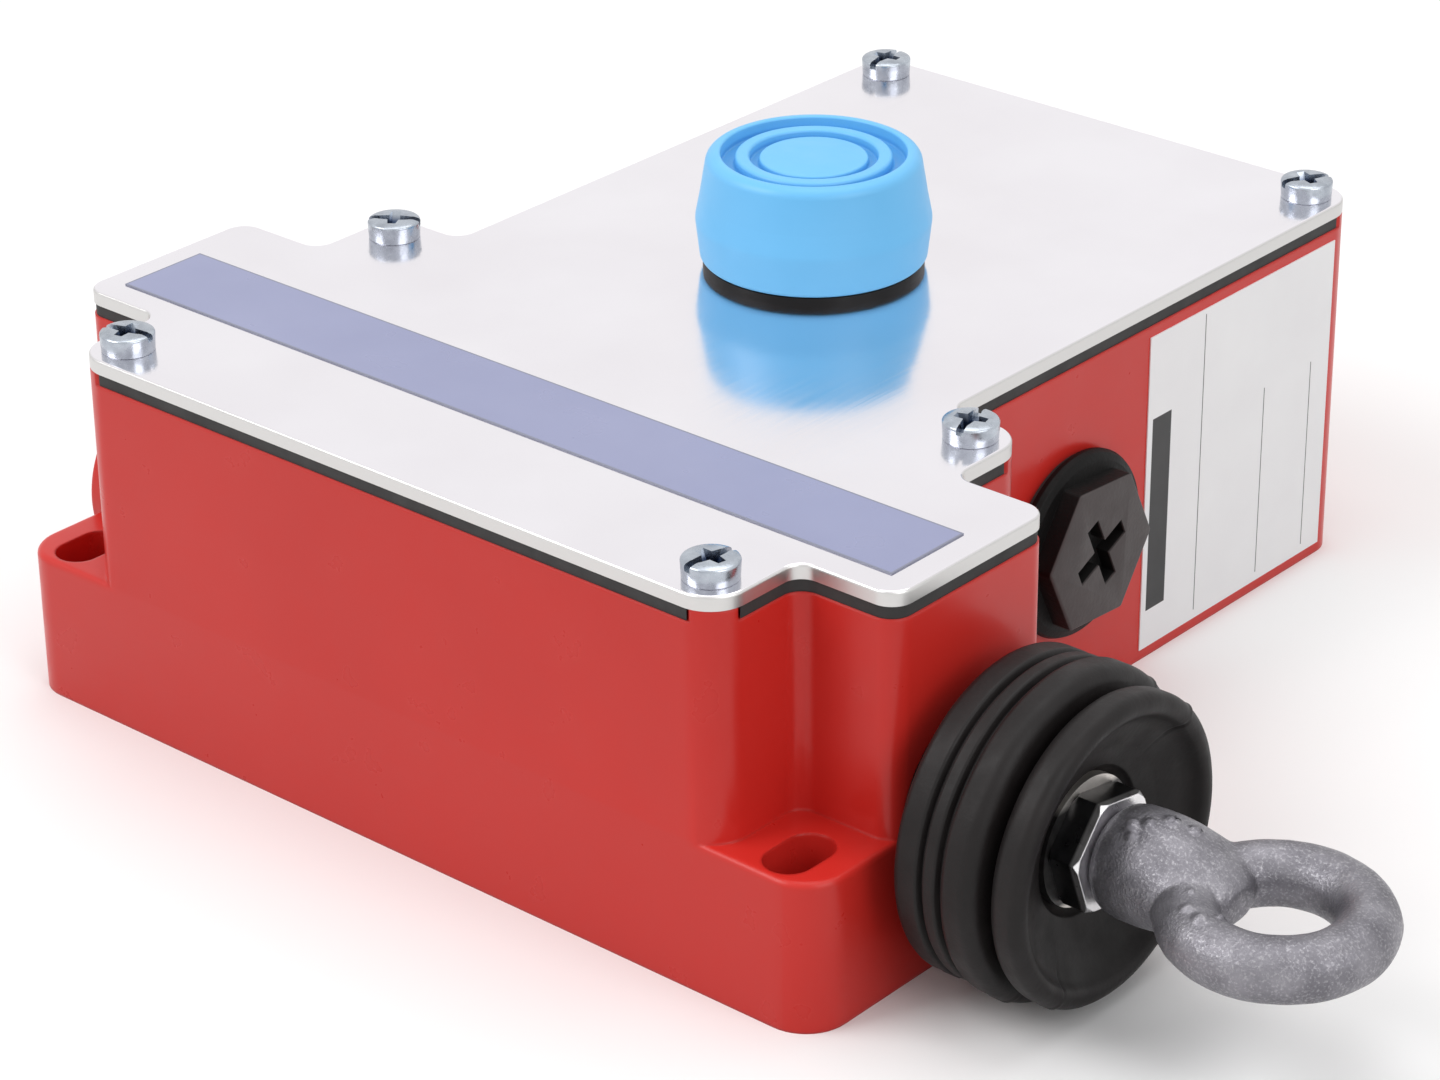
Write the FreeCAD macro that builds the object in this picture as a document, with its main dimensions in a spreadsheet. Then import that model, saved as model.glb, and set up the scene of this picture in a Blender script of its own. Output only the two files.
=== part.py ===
import FreeCAD, Part
import math
import os
import Sketcher

# Rope pull switch: a die-cast housing with a spring-loaded rope shaft along X, a bellows and an
# eyebolt at +X, a sealed cover with a booted reset button, and the contact mechanism inside.
# Frame: origin on the mounting face, midway between the four fixing slots and under the rope
# axis. +X runs along the rope axis towards the eye, +Y towards the wiring compartment, +Z up.

V = FreeCAD.Vector
doc = FreeCAD.newDocument("rope_pull_switch")
sheet = doc.addObject("Spreadsheet::Sheet", "Sizes")


class Size:
    """A length that carries its value and the sheet expression that drives it."""

    def __init__(self, value, text):
        self.value = float(value)
        self.text = text

    def __add__(self, other):
        other = sized(other)
        return Size(self.value + other.value, "(%s + %s)" % (self.text, other.text))

    def __sub__(self, other):
        other = sized(other)
        return Size(self.value - other.value, "(%s - %s)" % (self.text, other.text))

    def __mul__(self, other):
        other = sized(other)
        return Size(self.value * other.value, "(%s * %s)" % (self.text, other.text))

    def __truediv__(self, other):
        other = sized(other)
        return Size(self.value / other.value, "(%s / %s)" % (self.text, other.text))

    def __neg__(self):
        return Size(-self.value, "(0 - %s)" % self.text)


def sized(number):
    """A plain number as a size; a size passes through."""
    return number if isinstance(number, Size) else Size(number, repr(float(number)))


ZERO = sized(0)
row_count = 0


def size(alias, value):
    """Write one driving dimension on the next row of the sheet."""
    global row_count
    row_count += 1
    sheet.set("A%d" % row_count, alias)
    sheet.set("B%d" % row_count, str(value))
    sheet.setAlias("B%d" % row_count, alias)
    return Size(value, "Sizes." + alias)


# Housing plan: every outer wall stands one ear margin outside the cover screws.
half_length = size("half_length", 81.5)
bar_half = size("bar_half", 17.2)
screw_inset = size("screw_inset", 23.0)
screw_y = size("screw_y", 28.6)
stem_inset = size("stem_inset", 14.5)
far_screw_y = size("far_screw_y", 135.8)
ear_margin = size("ear_margin", 6.0)
screw_x = half_length - screw_inset
far_screw_x = screw_x - stem_inset
wall = size("wall", 3.2)
floor_thick = size("floor_thick", 4.0)
foot_corner = size("foot_corner", 7.0)
bar_corner = size("bar_corner", 3.6)
notch_radius = size("notch_radius", 3.0)
edge_round = size("edge_round", 1.0)
plate_round = size("plate_round", 0.5)

# Levels above the mounting face.
foot_height = size("foot_height", 24.2)
axis_level = size("axis_level", 25.0)
rim_level = size("rim_level", 58.7)
gasket_thick = size("gasket_thick", 2.0)
plate_thick = size("plate_thick", 2.3)

# Fixing slots.
slot_inset = size("slot_inset", 8.5)
slot_x = half_length - slot_inset
slot_y = size("slot_y", 27.2)
slot_width = size("slot_width", 7.5)
slot_length = size("slot_length", 12.0)

# Cable entries in the side walls of the wiring compartment.
entry_y = size("entry_y", 65.0)
entry_level = size("entry_level", 29.4)
entry_radius = size("entry_radius", 9.2)
entry_length = size("entry_length", 9.0)
entry_boss = size("entry_boss", 13.0)

# Clearances.
fit_gap = size("fit_gap", 0.03)
running_gap = size("running_gap", 0.05)
seat_gap = size("seat_gap", 0.1)
soft_gap = size("soft_gap", 0.3)

# Cover screws, M5 cheese head with a slot crossed by a recess.
screw_radius = size("screw_radius", 2.5)
screw_head = size("screw_head", 4.25)
screw_head_height = size("screw_head_height", 3.2)
screw_reach = size("screw_reach", 14.0)
screw_tip_room = size("screw_tip_room", 2.0)
driver_width = size("driver_width", 1.25)
driver_depth = size("driver_depth", 1.7)
recess_length = size("recess_length", 5.2)
recess_depth = size("recess_depth", 2.2)

# Gasket.
gasket_inset = size("gasket_inset", 0.25)
gasket_band = size("gasket_band", 4.6)
gasket_ear = size("gasket_ear", 2.6)
riser_back = size("riser_back", 4.4)
riser_root = size("riser_root", 10.0)
riser_tip = size("riser_tip", 5.4)

# Foil strip on the cover and label on the side wall.
foil_thick = size("foil_thick", 0.2)
strip_inset = size("strip_inset", 4.5)
strip_half = half_length - strip_inset
strip_front = size("strip_front", 12.5)
strip_back = size("strip_back", 3.4)
label_space = size("label_space", 4.4)
label_inset = size("label_inset", 6.2)
label_low = size("label_low", 1.9)
label_high = size("label_high", 56.9)

# Rope shaft line, all radii about the rope axis.
travel = size("travel", 14.0)
shaft_radius = size("shaft_radius", 7.0)
cam_seat = size("cam_seat", 6.0)
journal_radius = size("journal_radius", 5.0)
journal_room = size("journal_room", 4.5)
journal_start = -half_length + journal_room
cam_start = size("cam_start", -30.0)
cam_end = size("cam_end", 22.0)
stud_radius = size("stud_radius", 5.0)
stud_length = size("stud_length", 23.0)
stud_room = size("stud_room", 2.0)

# Bearings of the shaft.
bush_bore = size("bush_bore", 11.0)
bush_length = size("bush_length", 15.0)
bush_start = half_length - bush_length
bush_nose = size("bush_nose", 14.0)
bush_nose_length = size("bush_nose_length", 4.5)
block_room = size("block_room", 16.0)
cap_flange = size("cap_flange", 17.0)
cap_thick = size("cap_thick", 3.0)
cap_spigot = size("cap_spigot", 12.5)
cap_reach = size("cap_reach", 27.5)
cap_block = size("cap_block", 10.0)

# Cam: its cone lifts the contact slide by one seventh of the shaft's travel.
cam_low = size("cam_low", 7.7)
cam_ratio = size("cam_ratio", 7.0)
cone_start = size("cone_start", -20.0)
cone_end = size("cone_end", 6.0)
cam_pin_radius = size("cam_pin_radius", 1.5)
cam_pin_place = size("cam_pin_place", -25.0)

# Main spring, its seat and the clip behind the seat.
seat_start = size("seat_start", 27.0)
seat_thick = size("seat_thick", 3.0)
seat_radius = size("seat_radius", 12.6)
clip_thick = size("clip_thick", 1.2)
clip_radius = size("clip_radius", 10.0)
clip_groove = size("clip_groove", 0.9)
spring_mean = size("spring_mean", 10.2)
spring_wire = size("spring_wire", 1.2)
spring_coils = size("spring_coils", 6.0)

# Clamp washer, lock nut and eyebolt.
bellows_reach = size("bellows_reach", 18.9)
hub_thick = size("hub_thick", 1.7)
washer_start = half_length + bellows_reach + fit_gap * 3
shaft_end = washer_start - hub_thick - fit_gap * 3
washer_thick = size("washer_thick", 1.5)
washer_radius = size("washer_radius", 9.8)
nut_flats = size("nut_flats", 16.0)
nut_thick = size("nut_thick", 5.0)
nut_turn = size("nut_turn", 20.0)
eye_reach = size("eye_reach", 26.8)
eye_ring = size("eye_ring", 12.1)
eye_wire = size("eye_wire", 4.6)
collar_radius = size("collar_radius", 8.1)
collar_foot = size("collar_foot", 6.3)
collar_length = size("collar_length", 5.5)
neck_radius = size("neck_radius", 7.6)
neck_length = size("neck_length", 10.5)

# Blanking plug.
plug_flange = size("plug_flange", 15.4)
plug_face = size("plug_face", 13.9)
plug_flange_thick = size("plug_flange_thick", 2.2)
plug_seal_thick = size("plug_seal_thick", 0.8)
plug_seal_radius = size("plug_seal_radius", 14.6)
plug_flats = size("plug_flats", 22.7)
plug_head = size("plug_head", 3.4)
plug_turn = size("plug_turn", 26.0)
plug_cross = size("plug_cross", 12.0)
plug_cross_width = size("plug_cross_width", 2.9)
plug_cross_depth = size("plug_cross_depth", 2.6)

# Reset button on the cover.
reset_y = size("reset_y", 63.3)
reset_travel = size("reset_travel", 4.0)
bezel_radius = size("bezel_radius", 17.5)
bezel_thick = size("bezel_thick", 1.4)
sleeve_radius = size("sleeve_radius", 11.0)
sleeve_depth = size("sleeve_depth", 15.0)
sleeve_bore = size("sleeve_bore", 8.0)
reset_nut_flats = size("reset_nut_flats", 27.0)
reset_nut_thick = size("reset_nut_thick", 4.0)
boot_foot = size("boot_foot", 18.1)
boot_shoulder = size("boot_shoulder", 18.6)
boot_rim = size("boot_rim", 17.1)
boot_shoulder_rise = size("boot_shoulder_rise", 6.6)
boot_crown_rise = size("boot_crown_rise", 3.4)
boot_height = size("boot_height", 17.4)
boot_wall = size("boot_wall", 1.9)
boot_roof = size("boot_roof", 3.6)
rim_inner = size("rim_inner", 14.6)
ring_outer = size("ring_outer", 12.3)
ring_inner = size("ring_inner", 10.1)
disc_radius = size("disc_radius", 8.5)
groove_depth = size("groove_depth", 1.9)
ring_drop = size("ring_drop", 0.5)
disc_drop = size("disc_drop", 0.9)
pusher_head = size("pusher_head", 13.5)
pusher_head_thick = size("pusher_head_thick", 3.0)
pusher_rod = size("pusher_rod", 3.5)
pusher_tip = size("pusher_tip", 1.5)
pusher_tip_length = size("pusher_tip_length", 2.5)
return_mean = size("return_mean", 10.4)
return_wire = size("return_wire", 0.6)
return_coils = size("return_coils", 4.0)

# Contact mechanism on its base.
base_space = size("base_space", 1.0)
base_half = far_screw_x + ear_margin - entry_length - base_space
base_front = size("base_front", 18.0)
base_back = size("base_back", 78.0)
base_thick = size("base_thick", 3.0)
slide_inset = size("slide_inset", 3.5)
slide_half = base_half - slide_inset
slide_front = size("slide_front", 22.0)
slide_depth = size("slide_depth", 5.0)
slide_height = size("slide_height", 10.0)
nose_half = size("nose_half", 2.0)
block_share = size("block_share", 0.6)
plunger_x = base_half * block_share
plunger_radius = size("plunger_radius", 2.0)
plunger_length = size("plunger_length", 6.5)
plunger_room = size("plunger_room", 10.5)
block_front = size("block_front", 30.0)
block_depth = size("block_depth", 38.0)
block_width = base_half * block_share
block_height = size("block_height", 31.0)
terminal_pitch_x = size("terminal_pitch_x", 12.0)
terminal_pitch_y = size("terminal_pitch_y", 16.0)
terminal_well = size("terminal_well", 9.0)
terminal_depth = size("terminal_depth", 6.0)
terminal_head = size("terminal_head", 3.2)
terminal_radius = size("terminal_radius", 1.7)
pivot_y = size("pivot_y", 38.0)
pivot_level = size("pivot_level", 34.6)
pivot_radius = size("pivot_radius", 2.0)
lever_half = size("lever_half", 4.5)
lever_hub = size("lever_hub", 4.4)
lever_thick = size("lever_thick", 4.0)
ear_width = size("ear_width", 3.0)
ear_depth = size("ear_depth", 9.0)
fixing_inset = size("fixing_inset", 5.0)
fixing_x = base_half - fixing_inset
fixing_y = size("fixing_y", 73.5)
fixing_radius = size("fixing_radius", 2.0)
fixing_head = size("fixing_head", 3.6)
fixing_head_height = size("fixing_head_height", 2.6)
fixing_reach = size("fixing_reach", 3.0)
earth_inset = size("earth_inset", 10.0)
earth_x = base_half - earth_inset
earth_y = size("earth_y", 112.0)
earth_boss = size("earth_boss", 5.0)
earth_rise = size("earth_rise", 6.0)

# Bellows, radii about the rope axis and stations along it.
bellows_wall = size("bellows_wall", 1.6)
fold_radius = size("fold_radius", 24.4)
big_fold = size("big_fold", 24.9)
lip_radius = size("lip_radius", 23.2)
lip_band = size("lip_band", 2.6)
lip_bowl = size("lip_bowl", 4.4)
valley_radius = size("valley_radius", 14.6)

# Sizes that follow from the ones above.
half_depth = screw_y + ear_margin
ear_half = screw_x + ear_margin
stem_half = far_screw_x + ear_margin
stem_back = far_screw_y + ear_margin
plate_level = rim_level + gasket_thick
plate_top = plate_level + plate_thick
label_near = entry_y + plug_flange + label_space
label_far = stem_back - label_inset
nut_face = washer_start + washer_thick + nut_thick
stud_start = nut_face - stud_length
eye_centre = nut_face + eye_reach
SCREW_PLACES = (
    (-screw_x, -screw_y), (screw_x, -screw_y), (screw_x, screw_y), (-screw_x, screw_y),
    (far_screw_x, far_screw_y), (-far_screw_x, far_screw_y),
)
SIDES = (-1, 1)

parts = []


def listed(thing, label):
    """Name a finished sub-part and put it on the list of files to write."""
    thing.Label = label
    parts.append(thing)
    return thing


def bind(thing, path, length):
    """Let one property follow its sheet expression."""
    thing.setExpression(path, length.text)


def place(thing, x=ZERO, y=ZERO, z=ZERO, turn=None):
    """Set a Placement whose three coordinates follow the sheet."""
    at = V(x.value, y.value, z.value)
    thing.Placement = FreeCAD.Placement(at, turn or FreeCAD.Rotation())
    for path, length in (("x", x), ("y", y), ("z", z)):
        if length.text != ZERO.text:
            bind(thing, "Placement.Base." + path, length)
    return thing


ALONG_X = FreeCAD.Rotation(V(0, 1, 0), 90)
ALONG_Y = FreeCAD.Rotation(V(1, 0, 0), -90)


def new_body(name):
    return doc.addObject("PartDesign::Body", name)


def new_sketch(body, name, plane="XY_Plane", level=ZERO):
    """A sketch on one of the body's own origin planes, raised to a level."""
    sketch = body.newObject("Sketcher::SketchObject", name)
    support = next(item for item in body.Origin.OriginFeatures if item.Role == plane)
    sketch.AttachmentSupport = (support, [""])
    sketch.MapMode = "FlatFace"
    sketch.AttachmentOffset = FreeCAD.Placement(V(0, 0, level.value), FreeCAD.Rotation())
    if level.text != ZERO.text:
        bind(sketch, "AttachmentOffset.Base.z", level)
    return sketch


def pin_point(sketch, geometry, point, x, y):
    """Hold one point of a sketch at coordinates that follow the sheet."""
    for kind, axis, length in (("DistanceX", -2, x), ("DistanceY", -1, y)):
        if length.value == 0:
            sketch.addConstraint(Sketcher.Constraint("PointOnObject", geometry, point, axis))
        else:
            rule = Sketcher.Constraint(kind, -1, 1, geometry, point, length.value)
            index = sketch.addConstraint(rule)
            bind(sketch, "Constraints[%d]" % index, length)


def hold_radius(sketch, geometry, radius):
    index = sketch.addConstraint(Sketcher.Constraint("Radius", geometry, radius.value))
    bind(sketch, "Constraints[%d]" % index, radius)


def circle(sketch, x, y, radius):
    """A circle with its centre and radius bound to the sheet."""
    curve = Part.Circle(V(x.value, y.value, 0), V(0, 0, 1), radius.value)
    index = sketch.addGeometry(curve)
    pin_point(sketch, index, 3, x, y)
    hold_radius(sketch, index, radius)


def outline(sketch, corners):
    """A closed outline through corners (x, y) or (x, y, radius), all bound to the sheet."""
    count = len(corners)
    points = [V(sized(c[0]).value, sized(c[1]).value, 0) for c in corners]
    starts, ends, rounds = [], [], {}
    for k, corner in enumerate(corners):
        here = points[k]
        back = (points[k - 1] - here).normalize()
        ahead = (points[(k + 1) % count] - here).normalize()
        if len(corner) == 2:
            starts.append(here)
            ends.append(here)
            continue
        radius = corner[2].value
        half = math.acos(max(-1.0, min(1.0, back.dot(ahead)))) / 2
        reach = radius / math.tan(half)
        first = here + back * reach
        last = here + ahead * reach
        middle = (back + ahead).normalize()
        centre = here + middle * (radius / math.sin(half))
        crest = centre - middle * radius
        turns_left = back.cross(ahead).z < 0
        rounds[k] = (first, crest, last, turns_left)
        ends.append(first)
        starts.append(last)
    lines = []
    for k in range(count):
        line = Part.LineSegment(starts[k], ends[(k + 1) % count])
        lines.append(sketch.addGeometry(line))
    for k, corner in enumerate(corners):
        x, y = sized(corner[0]), sized(corner[1])
        before, after = lines[k - 1], lines[k]
        if k not in rounds:
            sketch.addConstraint(Sketcher.Constraint("Coincident", before, 2, after, 1))
            pin_point(sketch, after, 1, x, y)
            continue
        first, crest, last, turns_left = rounds[k]
        arc = sketch.addGeometry(Part.Arc(first, crest, last))
        near, far = (1, 2) if turns_left else (2, 1)
        sketch.addConstraint(Sketcher.Constraint("Tangent", before, 2, arc, near))
        sketch.addConstraint(Sketcher.Constraint("Tangent", arc, far, after, 1))
        hold_radius(sketch, arc, corner[2])
        mark = sketch.addGeometry(Part.Point(points[k]), True)
        sketch.addConstraint(Sketcher.Constraint("PointOnObject", mark, 1, before))
        sketch.addConstraint(Sketcher.Constraint("PointOnObject", mark, 1, after))
        pin_point(sketch, mark, 1, x, y)


def stadium(sketch, x, y, width, length):
    """A slot outline that runs along the sketch's own y."""
    radius = width / 2
    reach = (length - width) / 2
    low = V(x.value, (y - reach).value, 0)
    high = V(x.value, (y + reach).value, 0)
    side = V(radius.value, 0, 0)
    tip = V(0, radius.value, 0)
    right = sketch.addGeometry(Part.LineSegment(low + side, high + side))
    top = sketch.addGeometry(Part.Arc(high + side, high + tip, high - side))
    left = sketch.addGeometry(Part.LineSegment(high - side, low - side))
    bottom = sketch.addGeometry(Part.Arc(low - side, low - tip, low + side))
    chain = (right, top, left, bottom)
    for k, part in enumerate(chain):
        following = chain[(k + 1) % len(chain)]
        sketch.addConstraint(Sketcher.Constraint("Tangent", part, 2, following, 1))
    pin_point(sketch, top, 3, x, y + reach)
    pin_point(sketch, bottom, 3, x, y - reach)
    hold_radius(sketch, top, radius)
    hold_radius(sketch, bottom, radius)


def extrude(body, sketch, length, kind="Pad", down=False):
    """Pad or pocket a sketch; down runs against the sketch's normal."""
    feature = body.newObject("PartDesign::" + kind, sketch.Name + kind)
    feature.Profile = sketch
    feature.Length = length.value
    bind(feature, "Length", length)
    feature.Reversed = down if kind == "Pad" else not down
    return feature


def revolve(body, sketch, axis="H_Axis"):
    feature = body.newObject("PartDesign::Revolution", sketch.Name + "Turn")
    feature.Profile = sketch
    feature.ReferenceAxis = (sketch, [axis])
    feature.Angle = 360
    return feature


def turned(name, corners, x=ZERO, y=ZERO, z=ZERO, upright=False):
    """A turned body: corners are (station, radius), along X, or along Z when upright."""
    body = place(new_body(name), x, y, z)
    sketch = new_sketch(body, name + "Profile", "XZ_Plane" if upright else "XY_Plane")
    if upright:
        corners = [(c[1], c[0]) + tuple(c[2:]) for c in corners]
    outline(sketch, corners)
    revolve(body, sketch, "V_Axis" if upright else "H_Axis")
    return body


def body_primitive(body, kind, sizes, x, y, z, turn=None):
    """An additive or subtractive box or cylinder inside a body."""
    feature = body.newObject("PartDesign::" + kind, kind)
    for path, length in sizes.items():
        setattr(feature, path, length.value)
        bind(feature, path, length)
    return place(feature, x, y, z, turn)


def body_cylinder(body, kind, radius, length, x, y, z, turn=None):
    return body_primitive(body, kind + "Cylinder", {"Radius": radius, "Height": length}, x, y, z, turn)


def body_box(body, kind, low, high):
    """A box between two corners, each (x, y, z)."""
    spans = [end - start for start, end in zip(low, high)]
    sizes = dict(zip(("Length", "Width", "Height"), spans))
    return body_primitive(body, kind + "Box", sizes, *low)


def round_edges(body, feature, radius, wanted):
    """Fillet the edges of a feature that the test picks."""
    doc.recompute()
    names = []
    for k, edge in enumerate(feature.Shape.Edges):
        if wanted(edge):
            names.append("Edge%d" % (k + 1))
    fillet = body.newObject("PartDesign::Fillet", feature.Name + "Round")
    fillet.Base = (feature, names)
    fillet.Radius = radius.value
    bind(fillet, "Radius", radius)
    return fillet


def tee_corners(inset):
    """The plan of housing, gasket and cover: a bar, a middle block with ears and a stem."""
    ear, depth = ear_half - inset, half_depth - inset
    end, bar = half_length - inset, bar_half - inset
    stem, back = stem_half - inset, stem_back - inset
    outer, tip, inner = ear_margin - inset, bar_corner - inset, notch_radius + inset
    return [
        (-ear, -depth, outer), (ear, -depth, outer), (ear, -bar, inner), (end, -bar, tip),
        (end, bar, tip), (ear, bar, inner), (ear, depth, outer), (stem, depth, inner),
        (stem, back, outer), (-stem, back, outer), (-stem, depth, inner), (-ear, depth, outer),
        (-ear, bar, inner), (-end, bar, tip), (-end, -bar, tip), (-ear, -bar, inner),
    ]


def square_tee(inset):
    """The same plan with square corners, for the cavity."""
    return [corner[:2] for corner in tee_corners(inset)]


def riser(sketch, x, y, gap):
    """The boss top beside a cover screw, narrowing towards the outside corner."""
    across = 1 if x.value > 0 else -1
    along = 1 if y.value > 0 else -1
    turn = math.sqrt(0.5)
    corners = []
    for reach, half in ((-riser_back - gap, riser_root / 2 + gap), (ear_margin + 2.0, riser_tip / 2 + gap)):
        for side in (SIDES if reach.value < 0 else reversed(SIDES)):
            shift_x = (reach * across - half * (side * along)) * turn
            shift_y = (reach * along + half * (side * across)) * turn
            corners.append((x + shift_x, y + shift_y))
    outline(sketch, corners)


def make_housing():
    body = new_body("housing")
    foot = new_sketch(body, "HousingFoot")
    outline(foot, [
        (-half_length, -half_depth, foot_corner), (half_length, -half_depth, foot_corner),
        (half_length, half_depth, foot_corner), (-half_length, half_depth, foot_corner),
    ])
    padded = extrude(body, foot, foot_height)

    def on_foot_rim(edge):
        return edge.BoundBox.ZMin > foot_height.value - 1e-6
    round_edges(body, padded, edge_round, on_foot_rim)
    tee = new_sketch(body, "HousingTee")
    outline(tee, tee_corners(ZERO))
    extrude(body, tee, plate_level)

    cavity = new_sketch(body, "HousingCavity", level=plate_level)
    outline(cavity, square_tee(wall))
    extrude(body, cavity, plate_level - floor_thick, "Pocket", down=True)

    bosses = new_sketch(body, "HousingBosses")
    for x, y in SCREW_PLACES:
        circle(bosses, x, y, ear_margin)
    extrude(body, bosses, plate_level)

    seat = new_sketch(body, "HousingSeat", level=plate_level)
    outline(seat, [
        (-half_length - ear_margin, -half_depth - ear_margin),
        (half_length + ear_margin, -half_depth - ear_margin),
        (half_length + ear_margin, stem_back + ear_margin),
        (-half_length - ear_margin, stem_back + ear_margin),
    ])
    for x, y in SCREW_PLACES:
        riser(seat, x, y, ZERO)
    extrude(body, seat, gasket_thick, "Pocket", down=True)

    weld = wall / 2
    block_high = axis_level + block_room
    inner_y = bar_half - weld
    body_box(body, "Additive", (bush_start, -inner_y, floor_thick - weld),
             (half_length - weld, inner_y, block_high))
    body_box(body, "Additive", (-half_length + weld, -inner_y, floor_thick - weld),
             (-half_length + cap_block, inner_y, block_high))
    for side in SIDES:
        start = stem_half - entry_length if side > 0 else -stem_half + weld
        body_cylinder(body, "Additive", entry_boss, entry_length - weld, start, entry_y, entry_level,
                      ALONG_X)
    body_cylinder(body, "Additive", earth_boss, earth_rise + weld, -earth_x, earth_y,
                  floor_thick - weld)

    drills = new_sketch(body, "HousingDrills", level=plate_level)
    for x, y in SCREW_PLACES:
        circle(drills, x, y, screw_radius + running_gap)
    extrude(body, drills, screw_reach + screw_tip_room, "Pocket", down=True)

    slots = new_sketch(body, "HousingSlots", level=foot_height)
    for x in (-slot_x, slot_x):
        for y in (-slot_y, slot_y):
            stadium(slots, x, y, slot_width, slot_length)
    extrude(body, slots, foot_height, "Pocket", down=True)

    fixings = new_sketch(body, "HousingFixings", level=floor_thick)
    for side in SIDES:
        circle(fixings, fixing_x * side, fixing_y, fixing_radius + running_gap)
    extrude(body, fixings, fixing_reach, "Pocket", down=True)

    earth = new_sketch(body, "HousingEarth", level=floor_thick + earth_rise)
    circle(earth, -earth_x, earth_y, fixing_radius + running_gap)
    extrude(body, earth, earth_rise, "Pocket", down=True)

    through = half_length - bush_start
    body_cylinder(body, "Subtractive", bush_bore, through, bush_start, ZERO, axis_level, ALONG_X)
    body_cylinder(body, "Subtractive", cap_spigot + fit_gap, cap_block, -half_length, ZERO,
                  axis_level, ALONG_X)
    for side in SIDES:
        start = stem_half - entry_length if side > 0 else -stem_half
        body_cylinder(body, "Subtractive", entry_radius, entry_length, start, entry_y, entry_level,
                      ALONG_X)
    return listed(body, "housing")


def make_cover():
    body = new_body("cover_plate")
    tee = new_sketch(body, "CoverTee", level=plate_level)
    outline(tee, tee_corners(ZERO))
    sheet_metal = extrude(body, tee, plate_thick)
    top = plate_top.value

    def on_top(edge):
        return edge.BoundBox.ZMin > top - 1e-6
    round_edges(body, sheet_metal, plate_round, on_top)
    holes = new_sketch(body, "CoverHoles", level=plate_top)
    for x, y in SCREW_PLACES:
        circle(holes, x, y, screw_radius + soft_gap)
    circle(holes, ZERO, reset_y, sleeve_radius + soft_gap)
    extrude(body, holes, plate_thick, "Pocket", down=True)
    return listed(body, "cover_plate")


def loose_sketch(name, level):
    sketch = doc.addObject("Sketcher::SketchObject", name)
    return place(sketch, ZERO, ZERO, level)


def prism(sketch, height):
    """A solid extrusion of a sketch that stands by itself."""
    solid = doc.addObject("Part::Extrusion", sketch.Name + "Prism")
    solid.Base = sketch
    solid.DirMode = "Custom"
    solid.Dir = V(0, 0, 1)
    solid.Solid = True
    solid.LengthFwd = height.value
    bind(solid, "LengthFwd", height)
    return solid


def cut(base, tool, name="Cut"):
    result = doc.addObject("Part::Cut", name)
    result.Base = base
    result.Tool = tool
    return result


def fuse(shapes, name="Fuse"):
    result = doc.addObject("Part::MultiFuse", name)
    result.Shapes = shapes
    return result


def group(shapes, name):
    result = doc.addObject("Part::Compound", name)
    result.Links = shapes
    return result


def make_gasket():
    outer = loose_sketch("GasketOuter", rim_level)
    outline(outer, tee_corners(gasket_inset))
    inner = loose_sketch("GasketInner", rim_level)
    outline(inner, square_tee(gasket_band))
    ears = loose_sketch("GasketEars", rim_level)
    reliefs = loose_sketch("GasketReliefs", rim_level)
    for x, y in SCREW_PLACES:
        circle(ears, x, y, ear_margin + gasket_ear + soft_gap)
        riser(reliefs, x, y, soft_gap)
    window = cut(prism(inner, gasket_thick), prism(ears, gasket_thick), "GasketWindow")
    frame = cut(prism(outer, gasket_thick), window, "GasketFrame")
    return listed(cut(frame, prism(reliefs, gasket_thick), "cover_gasket"), "cover_gasket")


def box(low, high, name="Block"):
    """A free-standing box between two corners."""
    solid = doc.addObject("Part::Box", name)
    for path, start, end in zip(("Length", "Width", "Height"), low, high):
        span = end - start
        setattr(solid, path, span.value)
        bind(solid, path, span)
    return place(solid, *low)


def cylinder(radius, length, x, y, z, turn=None, name="Round"):
    solid = doc.addObject("Part::Cylinder", name)
    solid.Radius = radius.value
    solid.Height = length.value
    bind(solid, "Radius", radius)
    bind(solid, "Height", length)
    return place(solid, x, y, z, turn)


def hexagon(flats, thick, x, y, z, turn, name="Hexagon"):
    """A hexagonal prism measured across its flats."""
    across = flats / math.sqrt(3)
    solid = doc.addObject("Part::Prism", name)
    solid.Polygon = 6
    solid.Circumradius = across.value
    solid.Height = thick.value
    bind(solid, "Circumradius", across)
    bind(solid, "Height", thick)
    return place(solid, x, y, z, turn)


def driver_bar(length, width, depth, x, y, top, angle):
    """A bar to cut from a screw head, centred on the screw and turned about its axis."""
    bar = doc.addObject("Part::Box", "DriverBar")
    for path, span in (("Length", length), ("Width", width), ("Height", depth)):
        setattr(bar, path, span.value)
        bind(bar, path, span)
    turn = FreeCAD.Rotation(V(0, 0, 1), angle)
    cosine, sine = math.cos(math.radians(angle)), math.sin(math.radians(angle))
    left = x - length * (cosine / 2) + width * (sine / 2)
    near = y - length * (sine / 2) - width * (cosine / 2)
    return place(bar, left, near, top - depth, turn)


def slotted_screw(x, y, seat, head, head_height, radius, reach, angle, crossed=False):
    """A cheese-head screw whose head stands on the seat level."""
    top = seat + head_height
    blank = fuse([
        cylinder(head, head_height, x, y, seat),
        cylinder(radius, reach + head_height / 2, x, y, seat - reach),
    ])
    tools = [driver_bar(head * 2.2, driver_width, driver_depth, x, y, top, angle)]
    if crossed:
        tools.append(driver_bar(recess_length, driver_width, recess_depth, x, y, top, angle + 90))
        tools.append(driver_bar(recess_length, driver_width, recess_depth, x, y, top, angle))
    tool = fuse(tools) if len(tools) > 1 else tools[0]
    return cut(blank, tool, "Screw")


# Slot angles of the six cover screws, in the order of SCREW_PLACES.
SLOT_ANGLES = (14, 80, 105, 35, 60, 95)


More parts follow.
